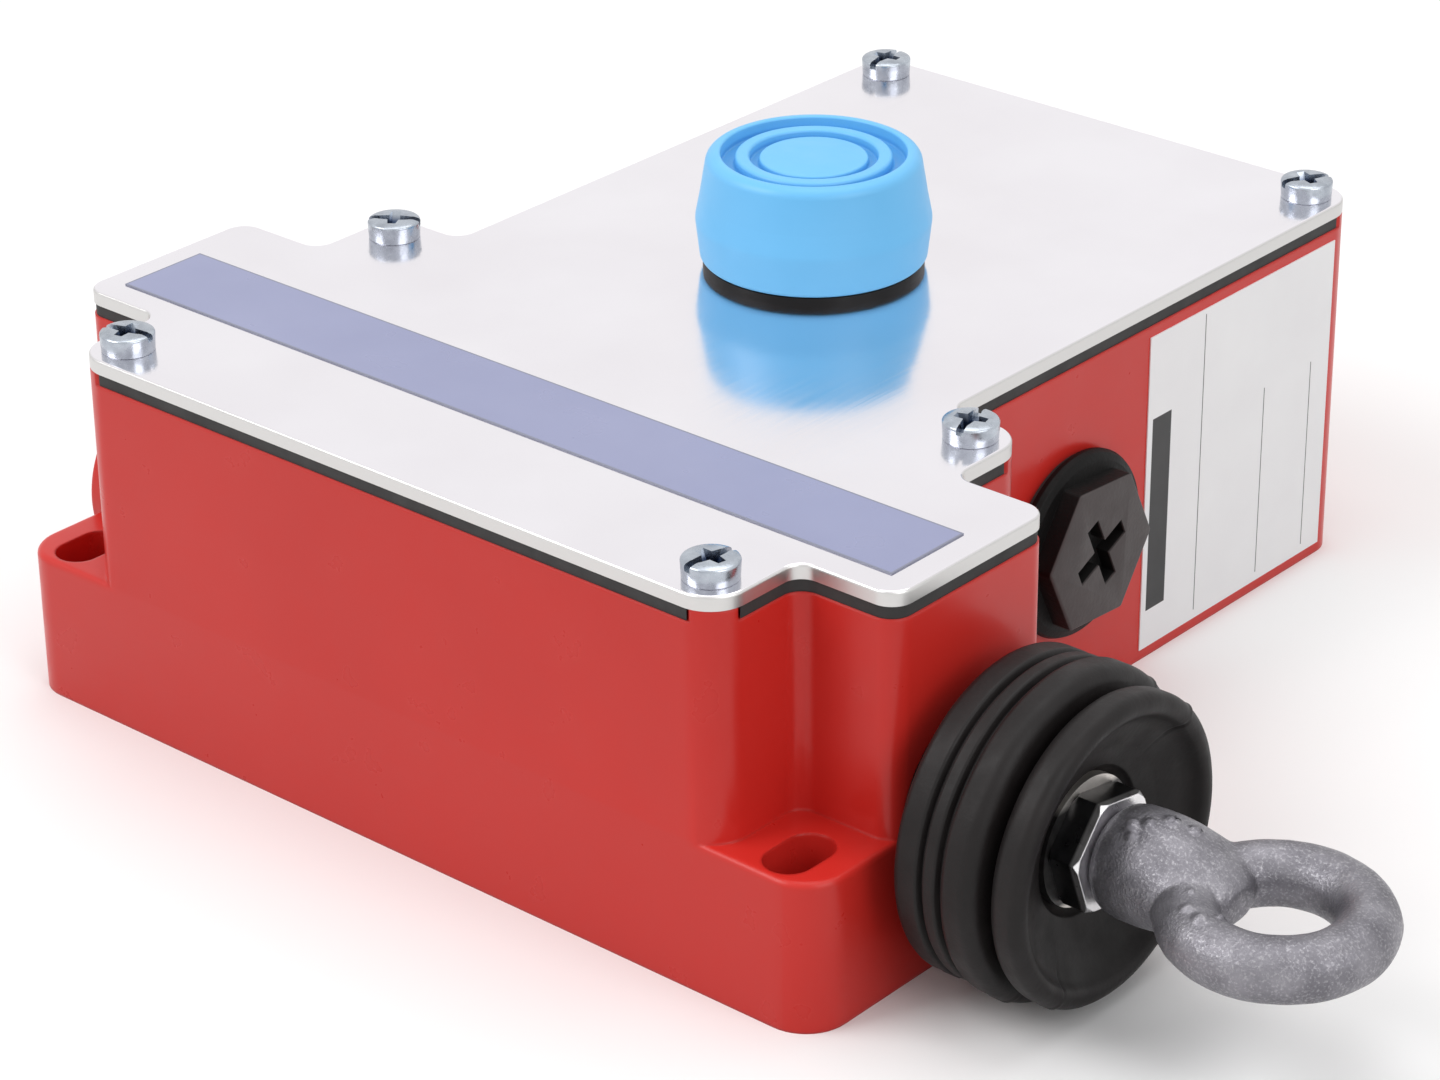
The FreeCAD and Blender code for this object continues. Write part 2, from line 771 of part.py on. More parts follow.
def make_cover_screws():
    reach = screw_reach + plate_thick
    screws = []
    for (x, y), angle in zip(SCREW_PLACES, SLOT_ANGLES):
        screws.append(slotted_screw(x, y, plate_top, screw_head, screw_head_height, screw_radius,
                                    reach, angle, crossed=True))
    return listed(group(screws, "cover_screws"), "cover_screws")


def make_foils():
    strip = box((-strip_half, -strip_front, plate_top), (strip_half, strip_back, plate_top + foil_thick),
                "cover_strip")
    listed(strip, "cover_strip")
    label = box((stem_half, label_near, label_low), (stem_half + foil_thick, label_far, label_high),
                "side_label")
    listed(label, "side_label")


def make_end_cap():
    bore = journal_radius + running_gap
    face = -half_length
    chamfer = cap_thick / 5
    corners = [
        (face - cap_thick, ZERO), (face - cap_thick, cap_flange - chamfer),
        (face - cap_thick + chamfer, cap_flange), (face, cap_flange), (face, cap_spigot),
        (face + cap_reach, cap_spigot), (face + cap_reach, bore), (face + seat_gap, bore),
        (face + seat_gap, ZERO),
    ]
    return listed(turned("end_cap", corners, z=axis_level), "end_cap")


def make_front_bush():
    bore = shaft_radius + running_gap
    outer = bush_bore - fit_gap
    corners = [
        (bush_start, bore), (bush_start, outer), (half_length, outer), (half_length, bush_nose),
        (half_length + bush_nose_length, bush_nose), (half_length + bush_nose_length, bore),
    ]
    return listed(turned("front_bush", corners, z=axis_level), "front_bush")


def make_shaft():
    groove_start = seat_start - clip_thick
    groove = shaft_radius - clip_groove
    stud_bore = stud_radius + running_gap
    bore_end = stud_start - stud_room
    corners = [
        (journal_start, ZERO), (journal_start, journal_radius), (cam_start, journal_radius),
        (cam_start, cam_seat), (cam_end, cam_seat), (cam_end, shaft_radius),
        (groove_start, shaft_radius), (groove_start, groove), (seat_start, groove),
        (seat_start, shaft_radius), (shaft_end, shaft_radius), (shaft_end, stud_bore),
        (bore_end, stud_bore), (bore_end, ZERO),
    ]
    body = turned("pull_shaft", corners, z=axis_level)
    body_cylinder(body, "Subtractive", cam_pin_radius, cam_seat * 4, cam_pin_place, ZERO, cam_seat * -2)
    return listed(body, "pull_shaft")


def make_cam():
    cam_high = cam_low + (cone_end - cone_start) / cam_ratio
    bore = cam_seat + fit_gap
    corners = [
        (cam_start, bore), (cam_start, cam_high), (cone_start, cam_high), (cone_end, cam_low),
        (cam_end, cam_low), (cam_end, bore),
    ]
    body = turned("cam_sleeve", corners, z=axis_level)
    body_cylinder(body, "Subtractive", cam_pin_radius, cam_high * 4, cam_pin_place, ZERO,
                  cam_high * -2)
    listed(body, "cam_sleeve")
    pin_length = cam_high * 2 - soft_gap * 2
    pin = cylinder(cam_pin_radius - fit_gap, pin_length, cam_pin_place, ZERO,
                   axis_level - pin_length / 2, name="cam_pin")
    listed(pin, "cam_pin")


def make_spring_seat():
    bore = shaft_radius + fit_gap
    corners = [
        (seat_start, bore), (seat_start, seat_radius), (seat_start + seat_thick, seat_radius),
        (seat_start + seat_thick, bore),
    ]
    listed(turned("spring_seat", corners, z=axis_level), "spring_seat")
    groove = shaft_radius - clip_groove + fit_gap
    start = seat_start - clip_thick + fit_gap
    end = seat_start - fit_gap
    clip = turned("seat_clip", [
        (start, groove), (start, clip_radius), (end, clip_radius), (end, groove),
    ], z=axis_level)
    body_box(clip, "Subtractive", (start - fit_gap, -shaft_radius / 2, ZERO),
             (end + fit_gap, shaft_radius / 2, clip_radius * 2))
    listed(clip, "seat_clip")


def coil_spring(name, mean, wire, turns, start, end, along_x, y=ZERO, z=ZERO):
    """A helical spring that fills the space between two seats."""
    body = new_body(name)
    place(body, ZERO, y, z)
    first = start + wire
    height = end - start - wire * 2
    if along_x:
        sketch = new_sketch(body, name + "Wire", "XY_Plane")
        circle(sketch, first, mean, wire)
    else:
        sketch = new_sketch(body, name + "Wire", "XZ_Plane")
        circle(sketch, mean, first, wire)
    helix = body.newObject("PartDesign::AdditiveHelix", name + "Helix")
    helix.Profile = sketch
    helix.ReferenceAxis = (sketch, ["H_Axis" if along_x else "V_Axis"])
    helix.Mode = "height-turns-angle"
    helix.Height = height.value
    helix.Turns = turns.value
    bind(helix, "Height", height)
    bind(helix, "Turns", turns)
    return listed(body, name)


def make_springs():
    coil_spring("main_spring", spring_mean, spring_wire, spring_coils,
                seat_start + seat_thick + seat_gap, bush_start - seat_gap, True, z=axis_level)
    coil_spring("reset_spring", return_mean, return_wire, return_coils,
                plate_top + bezel_thick + seat_gap, pusher_level() - seat_gap, False, y=reset_y)


def pusher_level():
    """Underside of the reset pusher's head."""
    return plate_top + bezel_thick + seat_gap + boot_height - boot_roof - soft_gap - pusher_head_thick


def make_washer_and_nut():
    bore = stud_radius + soft_gap
    corners = [
        (washer_start, bore), (washer_start, washer_radius),
        (washer_start + washer_thick, washer_radius), (washer_start + washer_thick, bore),
    ]
    listed(turned("clamp_washer", corners, z=axis_level), "clamp_washer")
    start = washer_start + washer_thick
    turn = ALONG_X.multiply(FreeCAD.Rotation(V(0, 0, 1), nut_turn.value))
    blank = hexagon(nut_flats, nut_thick, start, ZERO, axis_level, turn)
    corner = nut_flats / math.sqrt(3)
    chamfer = corner / 15
    dome = turned("NutDome", [
        (start, ZERO), (start, corner - chamfer), (start + chamfer, corner),
        (start + nut_thick - chamfer, corner), (start + nut_thick, corner - chamfer),
        (start + nut_thick, ZERO),
    ], z=axis_level)
    common = doc.addObject("Part::Common", "NutBlank")
    common.Base = blank
    common.Tool = dome
    hole = cylinder(stud_radius + running_gap, nut_thick * 2, start - nut_thick / 2, ZERO, axis_level,
                    ALONG_X)
    return listed(cut(common, hole, "lock_nut"), "lock_nut")


def make_eyebolt():
    shoulder = nut_face + collar_length
    neck_end = nut_face + neck_length
    root = eye_centre - eye_ring + eye_wire / 2
    body = turned("eyebolt", [
        (stud_start, ZERO), (stud_start, stud_radius), (nut_face, stud_radius),
        (nut_face, collar_foot), (nut_face + edge_round, collar_radius),
        (shoulder, collar_radius), (neck_end, neck_radius), (root, eye_wire - seat_gap),
        (root, ZERO),
    ], z=axis_level)
    ring = body.newObject("PartDesign::AdditiveTorus", "EyeRing")
    ring.Radius1 = eye_ring.value
    ring.Radius2 = eye_wire.value
    bind(ring, "Radius1", eye_ring)
    bind(ring, "Radius2", eye_wire)
    place(ring, eye_centre)
    return listed(body, "eyebolt")


def bellows_outer():
    """Outer skin of the bellows from the wall to its hub: (station, radius, rounding)."""
    foot = bush_nose + bellows_wall + seat_gap
    face = half_length + seat_gap
    return [
        (face, foot), (face + 2.6, foot, sized(1.2)), (face + 5.6, fold_radius, sized(1.4)),
        (face + 9.4, fold_radius, sized(0.5)), (face + 10.1, fold_radius - 1.5),
        (face + 10.7, fold_radius, sized(0.4)), (face + 12.6, fold_radius, sized(0.5)),
        (face + 13.4, fold_radius - 1.6), (face + 14.0, big_fold, sized(1.2)),
        (face + 19.2, big_fold, sized(2.4)), (face + 19.7, valley_radius, sized(0.4)),
        (face + 20.6, valley_radius, sized(0.4)),
    ]


def make_bellows():
    bore = bush_nose + seat_gap
    face = half_length + seat_gap
    hub = washer_start - fit_gap
    web = hub - hub_thick
    inside = fold_radius - bellows_wall * 1.5
    outer = bellows_outer()
    lip = [
        (hub + 1.6, lip_radius, sized(2.4)), (hub + 6.8, lip_radius, sized(1.6)),
        (hub + 7.5, lip_radius - lip_band, sized(0.7)), (hub + 4.6, lip_radius - lip_bowl, sized(2.0)),
        (hub + 1.7, washer_radius + lip_bowl / 3, sized(0.5)), (hub, washer_radius + soft_gap),
        (hub, stud_radius + soft_gap),
        (web, stud_radius + soft_gap),
    ]
    inner = [
        (web, valley_radius - bellows_wall), (face + 17.2, inside, sized(1.0)),
        (face + 6.6, inside), (face + bush_nose_length + seat_gap, bore), (face, bore),
    ]
    return listed(turned("bellows", outer + lip + inner, z=axis_level), "bellows")


def make_plug():
    seal_face = stem_half + plug_seal_thick
    flange_face = seal_face + plug_flange_thick
    stem_end = stem_half - entry_length + seat_gap
    stem = entry_radius - running_gap
    body = turned("PlugTurned", [
        (stem_end, ZERO), (stem_end, stem), (seal_face, stem), (seal_face, plug_flange),
        (seal_face + plug_flange_thick / 2, plug_flange), (flange_face, plug_face),
        (flange_face, ZERO),
    ], y=entry_y, z=entry_level)
    turn = ALONG_X.multiply(FreeCAD.Rotation(V(0, 0, 1), plug_turn.value))
    sunk = plug_flange_thick / 2
    head = hexagon(plug_flats, plug_head + sunk, flange_face - sunk, entry_y, entry_level, turn)
    blank = fuse([body, head])
    bars = []
    for angle in (25, 115):
        bar = doc.addObject("Part::Box", "PlugBar")
        for path, span in (("Length", plug_cross_depth * 2), ("Width", plug_cross),
                           ("Height", plug_cross_width)):
            setattr(bar, path, span.value)
            bind(bar, path, span)
        lean = FreeCAD.Rotation(V(1, 0, 0), angle)
        cosine, sine = math.cos(math.radians(angle)), math.sin(math.radians(angle))
        y = entry_y - plug_cross * (cosine / 2) + plug_cross_width * (sine / 2)
        z = entry_level - plug_cross * (sine / 2) - plug_cross_width * (cosine / 2)
        bars.append(place(bar, flange_face + plug_head - plug_cross_depth, y, z, lean))
    listed(cut(blank, fuse(bars), "blanking_plug"), "blanking_plug")
    seal = turned("plug_seal", [
        (stem_half, stem + seat_gap), (stem_half, plug_seal_radius), (seal_face, plug_seal_radius),
        (seal_face, stem + seat_gap),
    ], y=entry_y, z=entry_level)
    listed(seal, "plug_seal")


def make_reset():
    seat = plate_top + bezel_thick
    bezel = turned("reset_bezel", [
        (plate_top - sleeve_depth, sleeve_bore), (plate_top - sleeve_depth, sleeve_radius),
        (plate_top, sleeve_radius), (plate_top, bezel_radius), (seat, bezel_radius),
        (seat, sleeve_bore),
    ], y=reset_y, upright=True)
    listed(bezel, "reset_bezel")

    nut_low = plate_level - reset_nut_thick
    blank = hexagon(reset_nut_flats, reset_nut_thick, ZERO, reset_y, nut_low, None)
    bore = cylinder(sleeve_radius + running_gap, reset_nut_thick * 2, ZERO, reset_y,
                    nut_low - reset_nut_thick / 2)
    listed(cut(blank, bore, "reset_nut"), "reset_nut")

    base = seat + seat_gap
    top = base + boot_height
    roof = top - boot_roof
    shoulder = base + boot_shoulder_rise
    inner = boot_foot - boot_wall
    boot = turned("reset_boot", [
        (base, inner), (base, boot_foot, sized(0.4)), (shoulder, boot_shoulder, sized(3.0)),
        (shoulder + boot_crown_rise, boot_shoulder - soft_gap, sized(1.5)),
        (top, boot_rim, sized(1.8)),
        (top, rim_inner, sized(0.3)), (top - groove_depth, rim_inner),
        (top - groove_depth, ring_outer), (top - ring_drop, ring_outer, sized(0.3)),
        (top - ring_drop, ring_inner, sized(0.3)), (top - groove_depth, ring_inner),
        (top - groove_depth, disc_radius), (top - disc_drop, disc_radius, sized(0.2)),
        (top - disc_drop, ZERO), (roof, ZERO), (roof, inner - 1.0),
    ], y=reset_y, upright=True)
    listed(boot, "reset_boot")

    head = pusher_level()
    stem = sleeve_bore - running_gap
    tip = lever_top() + soft_gap
    stem_end = plate_top - sleeve_depth + reset_travel
    pusher = turned("reset_pusher", [
        (tip, ZERO), (tip, pusher_tip), (tip + pusher_tip_length, pusher_tip),
        (tip + pusher_tip_length, pusher_rod), (stem_end, pusher_rod), (stem_end, stem),
        (head, stem), (head, pusher_head), (head + pusher_head_thick, pusher_head),
        (head + pusher_head_thick, ZERO),
    ], y=reset_y, upright=True)
    listed(pusher, "reset_pusher")


def lever_top():
    """Upper face of the latch lever's rear arm."""
    return pivot_level + lever_hub


def slide_low():
    return axis_level - slide_height / 2


def make_contact_base():
    body = new_body("contact_base")
    deck = floor_thick + base_thick
    body_box(body, "Additive", (-base_half, base_front, floor_thick), (base_half, base_back, deck))
    ledge_top = slide_low() - soft_gap
    sink = base_thick / 2
    body_box(body, "Additive", (-base_half, base_front, deck - sink),
             (base_half, block_front - soft_gap, ledge_top))
    post_top = axis_level + slide_height / 2 + soft_gap
    post_in = slide_half + soft_gap
    ear_in = lever_half + soft_gap
    for side in SIDES:
        low = post_in if side > 0 else -base_half
        high = base_half if side > 0 else -post_in
        body_box(body, "Additive", (low, base_front, ledge_top - sink),
                 (high, block_front - soft_gap, post_top))
        low = ear_in if side > 0 else -ear_in - ear_width
        body_box(body, "Additive", (low, pivot_y - ear_depth / 2, deck - sink),
                 (low + ear_width, pivot_y + ear_depth / 2, pivot_level + lever_hub))
    pin_length = (ear_in + ear_width) * 2
    body_cylinder(body, "Subtractive", pivot_radius + fit_gap, pin_length * 2, -pin_length, pivot_y,
                  pivot_level, ALONG_X)
    for side in SIDES:
        body_cylinder(body, "Subtractive", fixing_radius + soft_gap, base_thick * 3, fixing_x * side,
                      fixing_y, ZERO)
    listed(body, "contact_base")
    pin = cylinder(pivot_radius, pin_length, -pin_length / 2, pivot_y, pivot_level, ALONG_X,
                   "latch_pin")
    listed(pin, "latch_pin")
    screws = []
    for side in SIDES:
        screws.append(slotted_screw(fixing_x * side, fixing_y, deck, fixing_head, fixing_head_height,
                                    fixing_radius, base_thick + fixing_reach / 2, 30 * side))
    listed(group(screws, "base_screws"), "base_screws")
    earth = slotted_screw(-earth_x, earth_y, floor_thick + earth_rise, fixing_head, fixing_head_height,
                          fixing_radius, earth_rise / 2, 20)
    listed(earth, "earth_screw")


def make_contact_slide():
    """Cross bar with the cam nose in front and two plungers behind."""
    low = slide_low()
    high = low + slide_height
    back = slide_front + slide_depth
    cone_here = cam_low + (cone_end + nose_half) / cam_ratio
    nose = cone_here + seat_gap
    body = new_body("contact_slide")
    body_box(body, "Additive", (-slide_half, slide_front, low), (slide_half, back, high))
    body_box(body, "Additive", (-nose_half, nose, axis_level - nose_half),
             (nose_half, slide_front + slide_depth / 2, axis_level + nose_half))
    for side in SIDES:
        body_cylinder(body, "Additive", plunger_radius, plunger_length + slide_depth / 2,
                      plunger_x * side, back - slide_depth / 2, axis_level, ALONG_Y)
    return listed(body, "contact_slide")


def make_contact_block(side, name):
    """Moulded contact block with four terminal wells in its top face."""
    deck = floor_thick + base_thick
    top = deck + block_height
    centre = plunger_x * side
    body = new_body(name)
    body_box(body, "Additive", (centre - block_width / 2, block_front, deck),
             (centre + block_width / 2, block_front + block_depth, top))
    middle = block_front + block_depth / 2
    for step_x in SIDES:
        for step_y in SIDES:
            x = centre + terminal_pitch_x * (step_x / 2)
            y = middle + terminal_pitch_y * (step_y / 2)
            half = terminal_well / 2
            body_box(body, "Subtractive", (x - half, y - half, top - terminal_depth),
                     (x + half, y + half, top + seat_gap))
            body_cylinder(body, "Subtractive", terminal_radius + running_gap, block_height / 2, x, y,
                          top - terminal_depth - block_height / 3)
    body_cylinder(body, "Subtractive", plunger_radius + running_gap, plunger_room,
                  centre, block_front - seat_gap, axis_level, ALONG_Y)
    return listed(body, name)


def make_terminal_screws():
    deck = floor_thick + base_thick
    seat = deck + block_height - terminal_depth
    middle = block_front + block_depth / 2
    screws = []
    for side in SIDES:
        for step_x in SIDES:
            for step_y in SIDES:
                x = plunger_x * side + terminal_pitch_x * (step_x / 2)
                y = middle + terminal_pitch_y * (step_y / 2)
                screws.append(slotted_screw(x, y, seat, terminal_head, terminal_head * 0.7,
                                            terminal_radius, block_height / 4,
                                            25 * step_x + 40 * step_y))
    return listed(group(screws, "terminal_screws"), "terminal_screws")


def make_latch_lever():
    """Rocker: its nose rests on the slide, its rear arm lies under the reset pusher."""
    body = new_body("latch_lever")
    place(body, ZERO, pivot_y, pivot_level)
    width = lever_half * 2
    body_cylinder(body, "Additive", lever_hub, width, -lever_half, ZERO, ZERO, ALONG_X)
    rear = reset_y - pivot_y + pusher_rod
    body_box(body, "Additive", (-lever_half, ZERO, lever_hub - lever_thick),
             (lever_half, rear, lever_hub))
    reach = pivot_y - slide_front - slide_depth / 2
    rest = axis_level + slide_height / 2 + soft_gap - pivot_level
    body_box(body, "Additive", (-lever_half, -reach, rest), (lever_half, ZERO, rest + lever_thick))
    body_cylinder(body, "Subtractive", pivot_radius + running_gap, width * 2, -width, ZERO, ZERO,
                  ALONG_X)
    return listed(body, "latch_lever")


make_housing()
make_cover()
make_gasket()
make_cover_screws()
make_foils()
make_end_cap()
make_front_bush()
make_shaft()
make_cam()
make_spring_seat()
make_springs()
make_washer_and_nut()
make_eyebolt()
make_bellows()
make_plug()
make_reset()
make_contact_base()
make_contact_slide()
make_contact_block(-1, "contact_block_left")
make_contact_block(1, "contact_block_right")
make_terminal_screws()
make_latch_lever()
doc.recompute()

CUTTING = ("PartDesign::Pocket", "PartDesign::SubtractiveBox", "PartDesign::SubtractiveCylinder")
for thing in doc.Objects:
    if "Invalid" in thing.State or "Error" in thing.State:
        raise RuntimeError("%s failed to build" % thing.Name)
    if thing.TypeId in CUTTING and thing.Shape.Volume > thing.BaseFeature.Shape.Volume - 1e-3:
        raise RuntimeError("%s cuts nothing" % thing.Name)
for part in parts:
    if part.Shape.isNull() or not part.Shape.isValid():
        raise RuntimeError("%s has no valid shape" % part.Label)

os.makedirs("parts", exist_ok=True)
for part in parts:
    part.Shape.exportStep("parts/%s.step" % part.Label)
    print("%-20s %d solid(s) %.0f mm3" % (part.Label, len(part.Shape.Solids), part.Shape.Volume))
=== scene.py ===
import math

import bmesh
import bpy
from mathutils import Matrix, Vector, noise


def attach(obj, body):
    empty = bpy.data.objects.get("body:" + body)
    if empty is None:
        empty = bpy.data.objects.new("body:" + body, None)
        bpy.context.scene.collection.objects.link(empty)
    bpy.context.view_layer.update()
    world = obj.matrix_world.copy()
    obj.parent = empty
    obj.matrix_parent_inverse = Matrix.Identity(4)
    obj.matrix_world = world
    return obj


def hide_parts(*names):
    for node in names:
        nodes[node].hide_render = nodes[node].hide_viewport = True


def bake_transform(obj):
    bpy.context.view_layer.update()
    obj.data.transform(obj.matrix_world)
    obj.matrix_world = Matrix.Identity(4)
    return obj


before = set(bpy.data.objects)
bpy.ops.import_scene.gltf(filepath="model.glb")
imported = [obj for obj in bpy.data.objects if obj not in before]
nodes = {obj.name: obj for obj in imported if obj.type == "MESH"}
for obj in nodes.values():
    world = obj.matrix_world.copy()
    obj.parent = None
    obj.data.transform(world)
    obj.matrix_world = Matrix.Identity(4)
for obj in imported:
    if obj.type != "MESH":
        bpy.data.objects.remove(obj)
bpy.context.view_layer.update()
MM = 0.001
PLATE_TOP = 63.0
EDGE_ROUND = 0.2
FOOT_TOP = 24.2
FRONT_WALL = -34.4

# Cover screws: place in mm and the angle in degrees at which the slot was left
SCREWS = ((-58.5, -28.6, 14), (58.5, -28.6, 80), (58.5, 28.6, 105), (-58.5, 28.6, 35),
          (44.0, 135.8, 60), (-44.0, 135.8, 95))

# Materials


class Paint:
    """A node material being built: texture space is the piece's own row-frame coordinates."""

    def __init__(self, name):
        self.material = bpy.data.materials.new(name)
        self.material.use_nodes = True
        self.tree = self.material.node_tree
        self.shader = self.tree.nodes["Principled BSDF"]
        self.where = self.add("ShaderNodeTexCoord").outputs["Object"]

    def add(self, kind, **values):
        node = self.tree.nodes.new(kind)
        for key, value in values.items():
            setattr(node, key, value)
        return node

    def link(self, a, b):
        self.tree.links.new(a, b)

    def noise(self, scale, detail=3, rough=0.5, stretch=None, kind="noise"):
        where = self.where
        if stretch:
            mapping = self.add("ShaderNodeMapping")
            mapping.inputs["Scale"].default_value = stretch
            self.link(where, mapping.inputs["Vector"])
            where = mapping.outputs["Vector"]
        if kind == "cells":
            node = self.add("ShaderNodeTexVoronoi")
            node.inputs["Scale"].default_value = scale
            self.link(where, node.inputs["Vector"])
            return node.outputs["Distance"]
        node = self.add("ShaderNodeTexNoise")
        node.inputs["Scale"].default_value = scale
        node.inputs["Detail"].default_value = detail
        node.inputs["Roughness"].default_value = rough
        self.link(where, node.inputs["Vector"])
        return node.outputs["Fac"]

    def math(self, operation, a, b=None, c=None):
        node = self.add("ShaderNodeMath", operation=operation)
        for socket, value in zip(node.inputs, (a, b, c)):
            if value is None:
                continue
            if isinstance(value, (int, float)):
                socket.default_value = value
            else:
                self.link(value, socket)
        return node.outputs[0]

    def spread(self, value, low, high, start=0.0, end=1.0):
        node = self.add("ShaderNodeMapRange")
        self.link(value, node.inputs["Value"])
        sockets = ("From Min", "From Max", "To Min", "To Max")
        for key, number in zip(sockets, (low, high, start, end)):
            node.inputs[key].default_value = number
        return node.outputs["Result"]

    def mix(self, factor, a, b):
        node = self.add("ShaderNodeMix", data_type="RGBA")
        for socket, value in ((node.inputs[0], factor), (node.inputs[6], a), (node.inputs[7], b)):
            if isinstance(value, (int, float)):
                socket.default_value = value
            elif isinstance(value, tuple):
                socket.default_value = (*value, 1)
            else:
                self.link(value, socket)
        return node.outputs[2]

    def axis(self, index):
        node = self.add("ShaderNodeSeparateXYZ")
        self.link(self.where, node.inputs[0])
        return node.outputs[index]

    def band(self, index, low, high, soft=0.00004):
        """1 where a coordinate lies between two values, in metres."""
        value = self.axis(index)
        up = self.spread(value, low - soft, low + soft)
        down = self.spread(value, high - soft, high + soft, 1, 0)
        return self.math("MULTIPLY", up, down)

    def recess(self):
        """1 close to one of the cover screws' axes, where their driver recess is."""
        inside = None
        for x, y, _ in SCREWS:
            here = self.ring(x * MM, y * MM, 0.0030)
            inside = self.math("MAXIMUM", inside, here) if inside else here
        return inside

    def ring(self, x, y, radius):
        """1 within a radius of an upright axis, in metres."""
        dx = self.math("SUBTRACT", self.axis(0), x)
        dy = self.math("SUBTRACT", self.axis(1), y)
        square = self.math("ADD", self.math("MULTIPLY", dx, dx), self.math("MULTIPLY", dy, dy))
        return self.math("LESS_THAN", square, radius * radius)

    def colour(self, output):
        self.link(output, self.shader.inputs["Base Color"])

    def rough(self, output):
        self.link(output, self.shader.inputs["Roughness"])

    def bump(self, *heights, edge=0):
        """Chained bumps, each (height output, strength, distance in metres), over worn edges."""
        last = None
        if edge:
            node = self.add("ShaderNodeBevel", samples=6)
            node.inputs["Radius"].default_value = edge
            last = node.outputs["Normal"]
        for height, strength, distance in heights:
            node = self.add("ShaderNodeBump")
            node.inputs["Strength"].default_value = strength
            node.inputs["Distance"].default_value = distance
            self.link(height, node.inputs["Height"])
            if last:
                self.link(last, node.inputs["Normal"])
            last = node.outputs["Normal"]
        self.link(last, self.shader.inputs["Normal"])

    def set(self, **values):
        for key, value in values.items():
            self.shader.inputs[key.replace("_", " ")].default_value = value
        return self


def red_paint():
    """Gloss enamel on a casting: orange peel, slow tone drift, a faint line at the foot's level."""
    p = Paint("red_enamel")
    drift = p.noise(22, 2)
    tone = p.mix(p.spread(drift, 0.3, 0.7), (0.575, 0.023, 0.017), (0.625, 0.028, 0.021))
    front = p.spread(p.axis(1), (FRONT_WALL - 0.05) * MM, FRONT_WALL * MM, 1, 0)
    below = p.spread(p.axis(2), (FOOT_TOP - 0.3) * MM, (FOOT_TOP + 0.4) * MM, 1, 0)
    foot = p.math("MULTIPLY", below, front)
    p.colour(p.mix(p.math("MULTIPLY", foot, 0.5), tone, (0.60, 0.036, 0.030)))
    p.rough(p.spread(p.noise(160, 4), 0.3, 0.7, 0.27, 0.36))
    p.bump((p.noise(420, 2), 0.03, 0.0003), (p.noise(60, 2), 0.02, 0.0008), edge=0.0008)
    p.set(Specular_IOR_Level=0.30, Coat_Weight=0.08, Coat_Roughness=0.14)
    return p.material


def plate_metal():
    """Rolled stainless sheet, nearly mirror bright, grain along Y, a rougher cut edge painted
    darker grey as a painted reflection of dimmer surroundings.
    """
    p = Paint("bright_sheet")
    grain = p.noise(1.0, 4, 0.6, stretch=(2600, 60, 800))
    cloud = p.noise(35, 3)
    edge = p.spread(p.axis(2), (PLATE_TOP - EDGE_ROUND) * MM, (PLATE_TOP - 0.02) * MM, 1, 0)
    sheet = p.mix(p.spread(cloud, 0.3, 0.7), (0.83, 0.80, 0.835), (0.87, 0.845, 0.88))
    # painted reflection: the rounded cut edge is coloured a darker grey for the dimmer surroundings
    # it mirrors
    p.colour(p.mix(edge, sheet, (0.62, 0.61, 0.60)))
    fine = p.spread(grain, 0.3, 0.7, 0.10, 0.16)
    shine = p.math("ADD", fine, p.spread(cloud, 0.35, 0.7, 0, 0.03))
    p.rough(p.math("MAXIMUM", shine, p.math("MULTIPLY", edge, 0.35)))
    p.bump((grain, 0.02, 0.0002), (p.noise(14, 2), 0.05, 0.002))
    p.set(Metallic=1.0)
    return p.material


def metal(name, low, high, rough_low, rough_high, bump=0.1, scale=500, size=0.0003):
    p = Paint(name)
    p.colour(p.mix(p.spread(p.noise(scale * 0.3, 3), 0.3, 0.7), low, high))
    p.rough(p.spread(p.noise(scale * 0.8, 4), 0.3, 0.7, rough_low, rough_high))
    p.bump((p.noise(scale, 3), bump, size))
    p.set(Metallic=1.0)
    return p.material


def screw_metal():
    """Blue-passivated zinc: mottled steel blue, with painted shade in dark blue down in the driver
    recess.
    """
    p = Paint("blue_zinc")
    mottled = p.spread(p.noise(420, 4, 0.6), 0.35, 0.65)
    tone = p.mix(mottled, (0.36, 0.39, 0.44), (0.48, 0.52, 0.575))
    # painted shade: inside the driver recess, below the head's top, the colour goes dark blue
    sunk = p.spread(p.axis(2), 0.0648, 0.0657, 1, 0)
    inside = p.math("MULTIPLY", sunk, p.recess())
    p.colour(p.mix(inside, tone, (0.08, 0.11, 0.18)))
    p.rough(p.spread(p.noise(700, 4), 0.3, 0.7, 0.20, 0.34))
    p.bump((p.noise(900, 3), 0.14, 0.0002))
    p.set(Metallic=1.0)
    return p.material


def forged_metal():
    """Hot-dip zinc on a forging: violet grey, a sandy skin whose lighter specks are painted glints,
    besides the real glints its bump gives.
    """
    p = Paint("forged_zinc")
    patches = p.noise(150, 4, 0.6)
    sand = p.noise(2300, 3, 0.65)
    dust = p.noise(3200, 1)
    tone = p.mix(p.spread(patches, 0.36, 0.66), (0.155, 0.149, 0.168), (0.265, 0.256, 0.281))
    # painted glints: the high spots of the sand noise are coloured near white
    p.colour(p.mix(p.spread(sand, 0.52, 0.70, 0, 0.38), tone, (0.58, 0.57, 0.59)))
    p.rough(p.spread(sand, 0.4, 0.65, 0.50, 0.34))
    p.bump((patches, 0.25, 0.0006), (sand, 0.60, 0.00018), (dust, 0.25, 0.00008))
    p.set(Metallic=0.8)
    return p.material


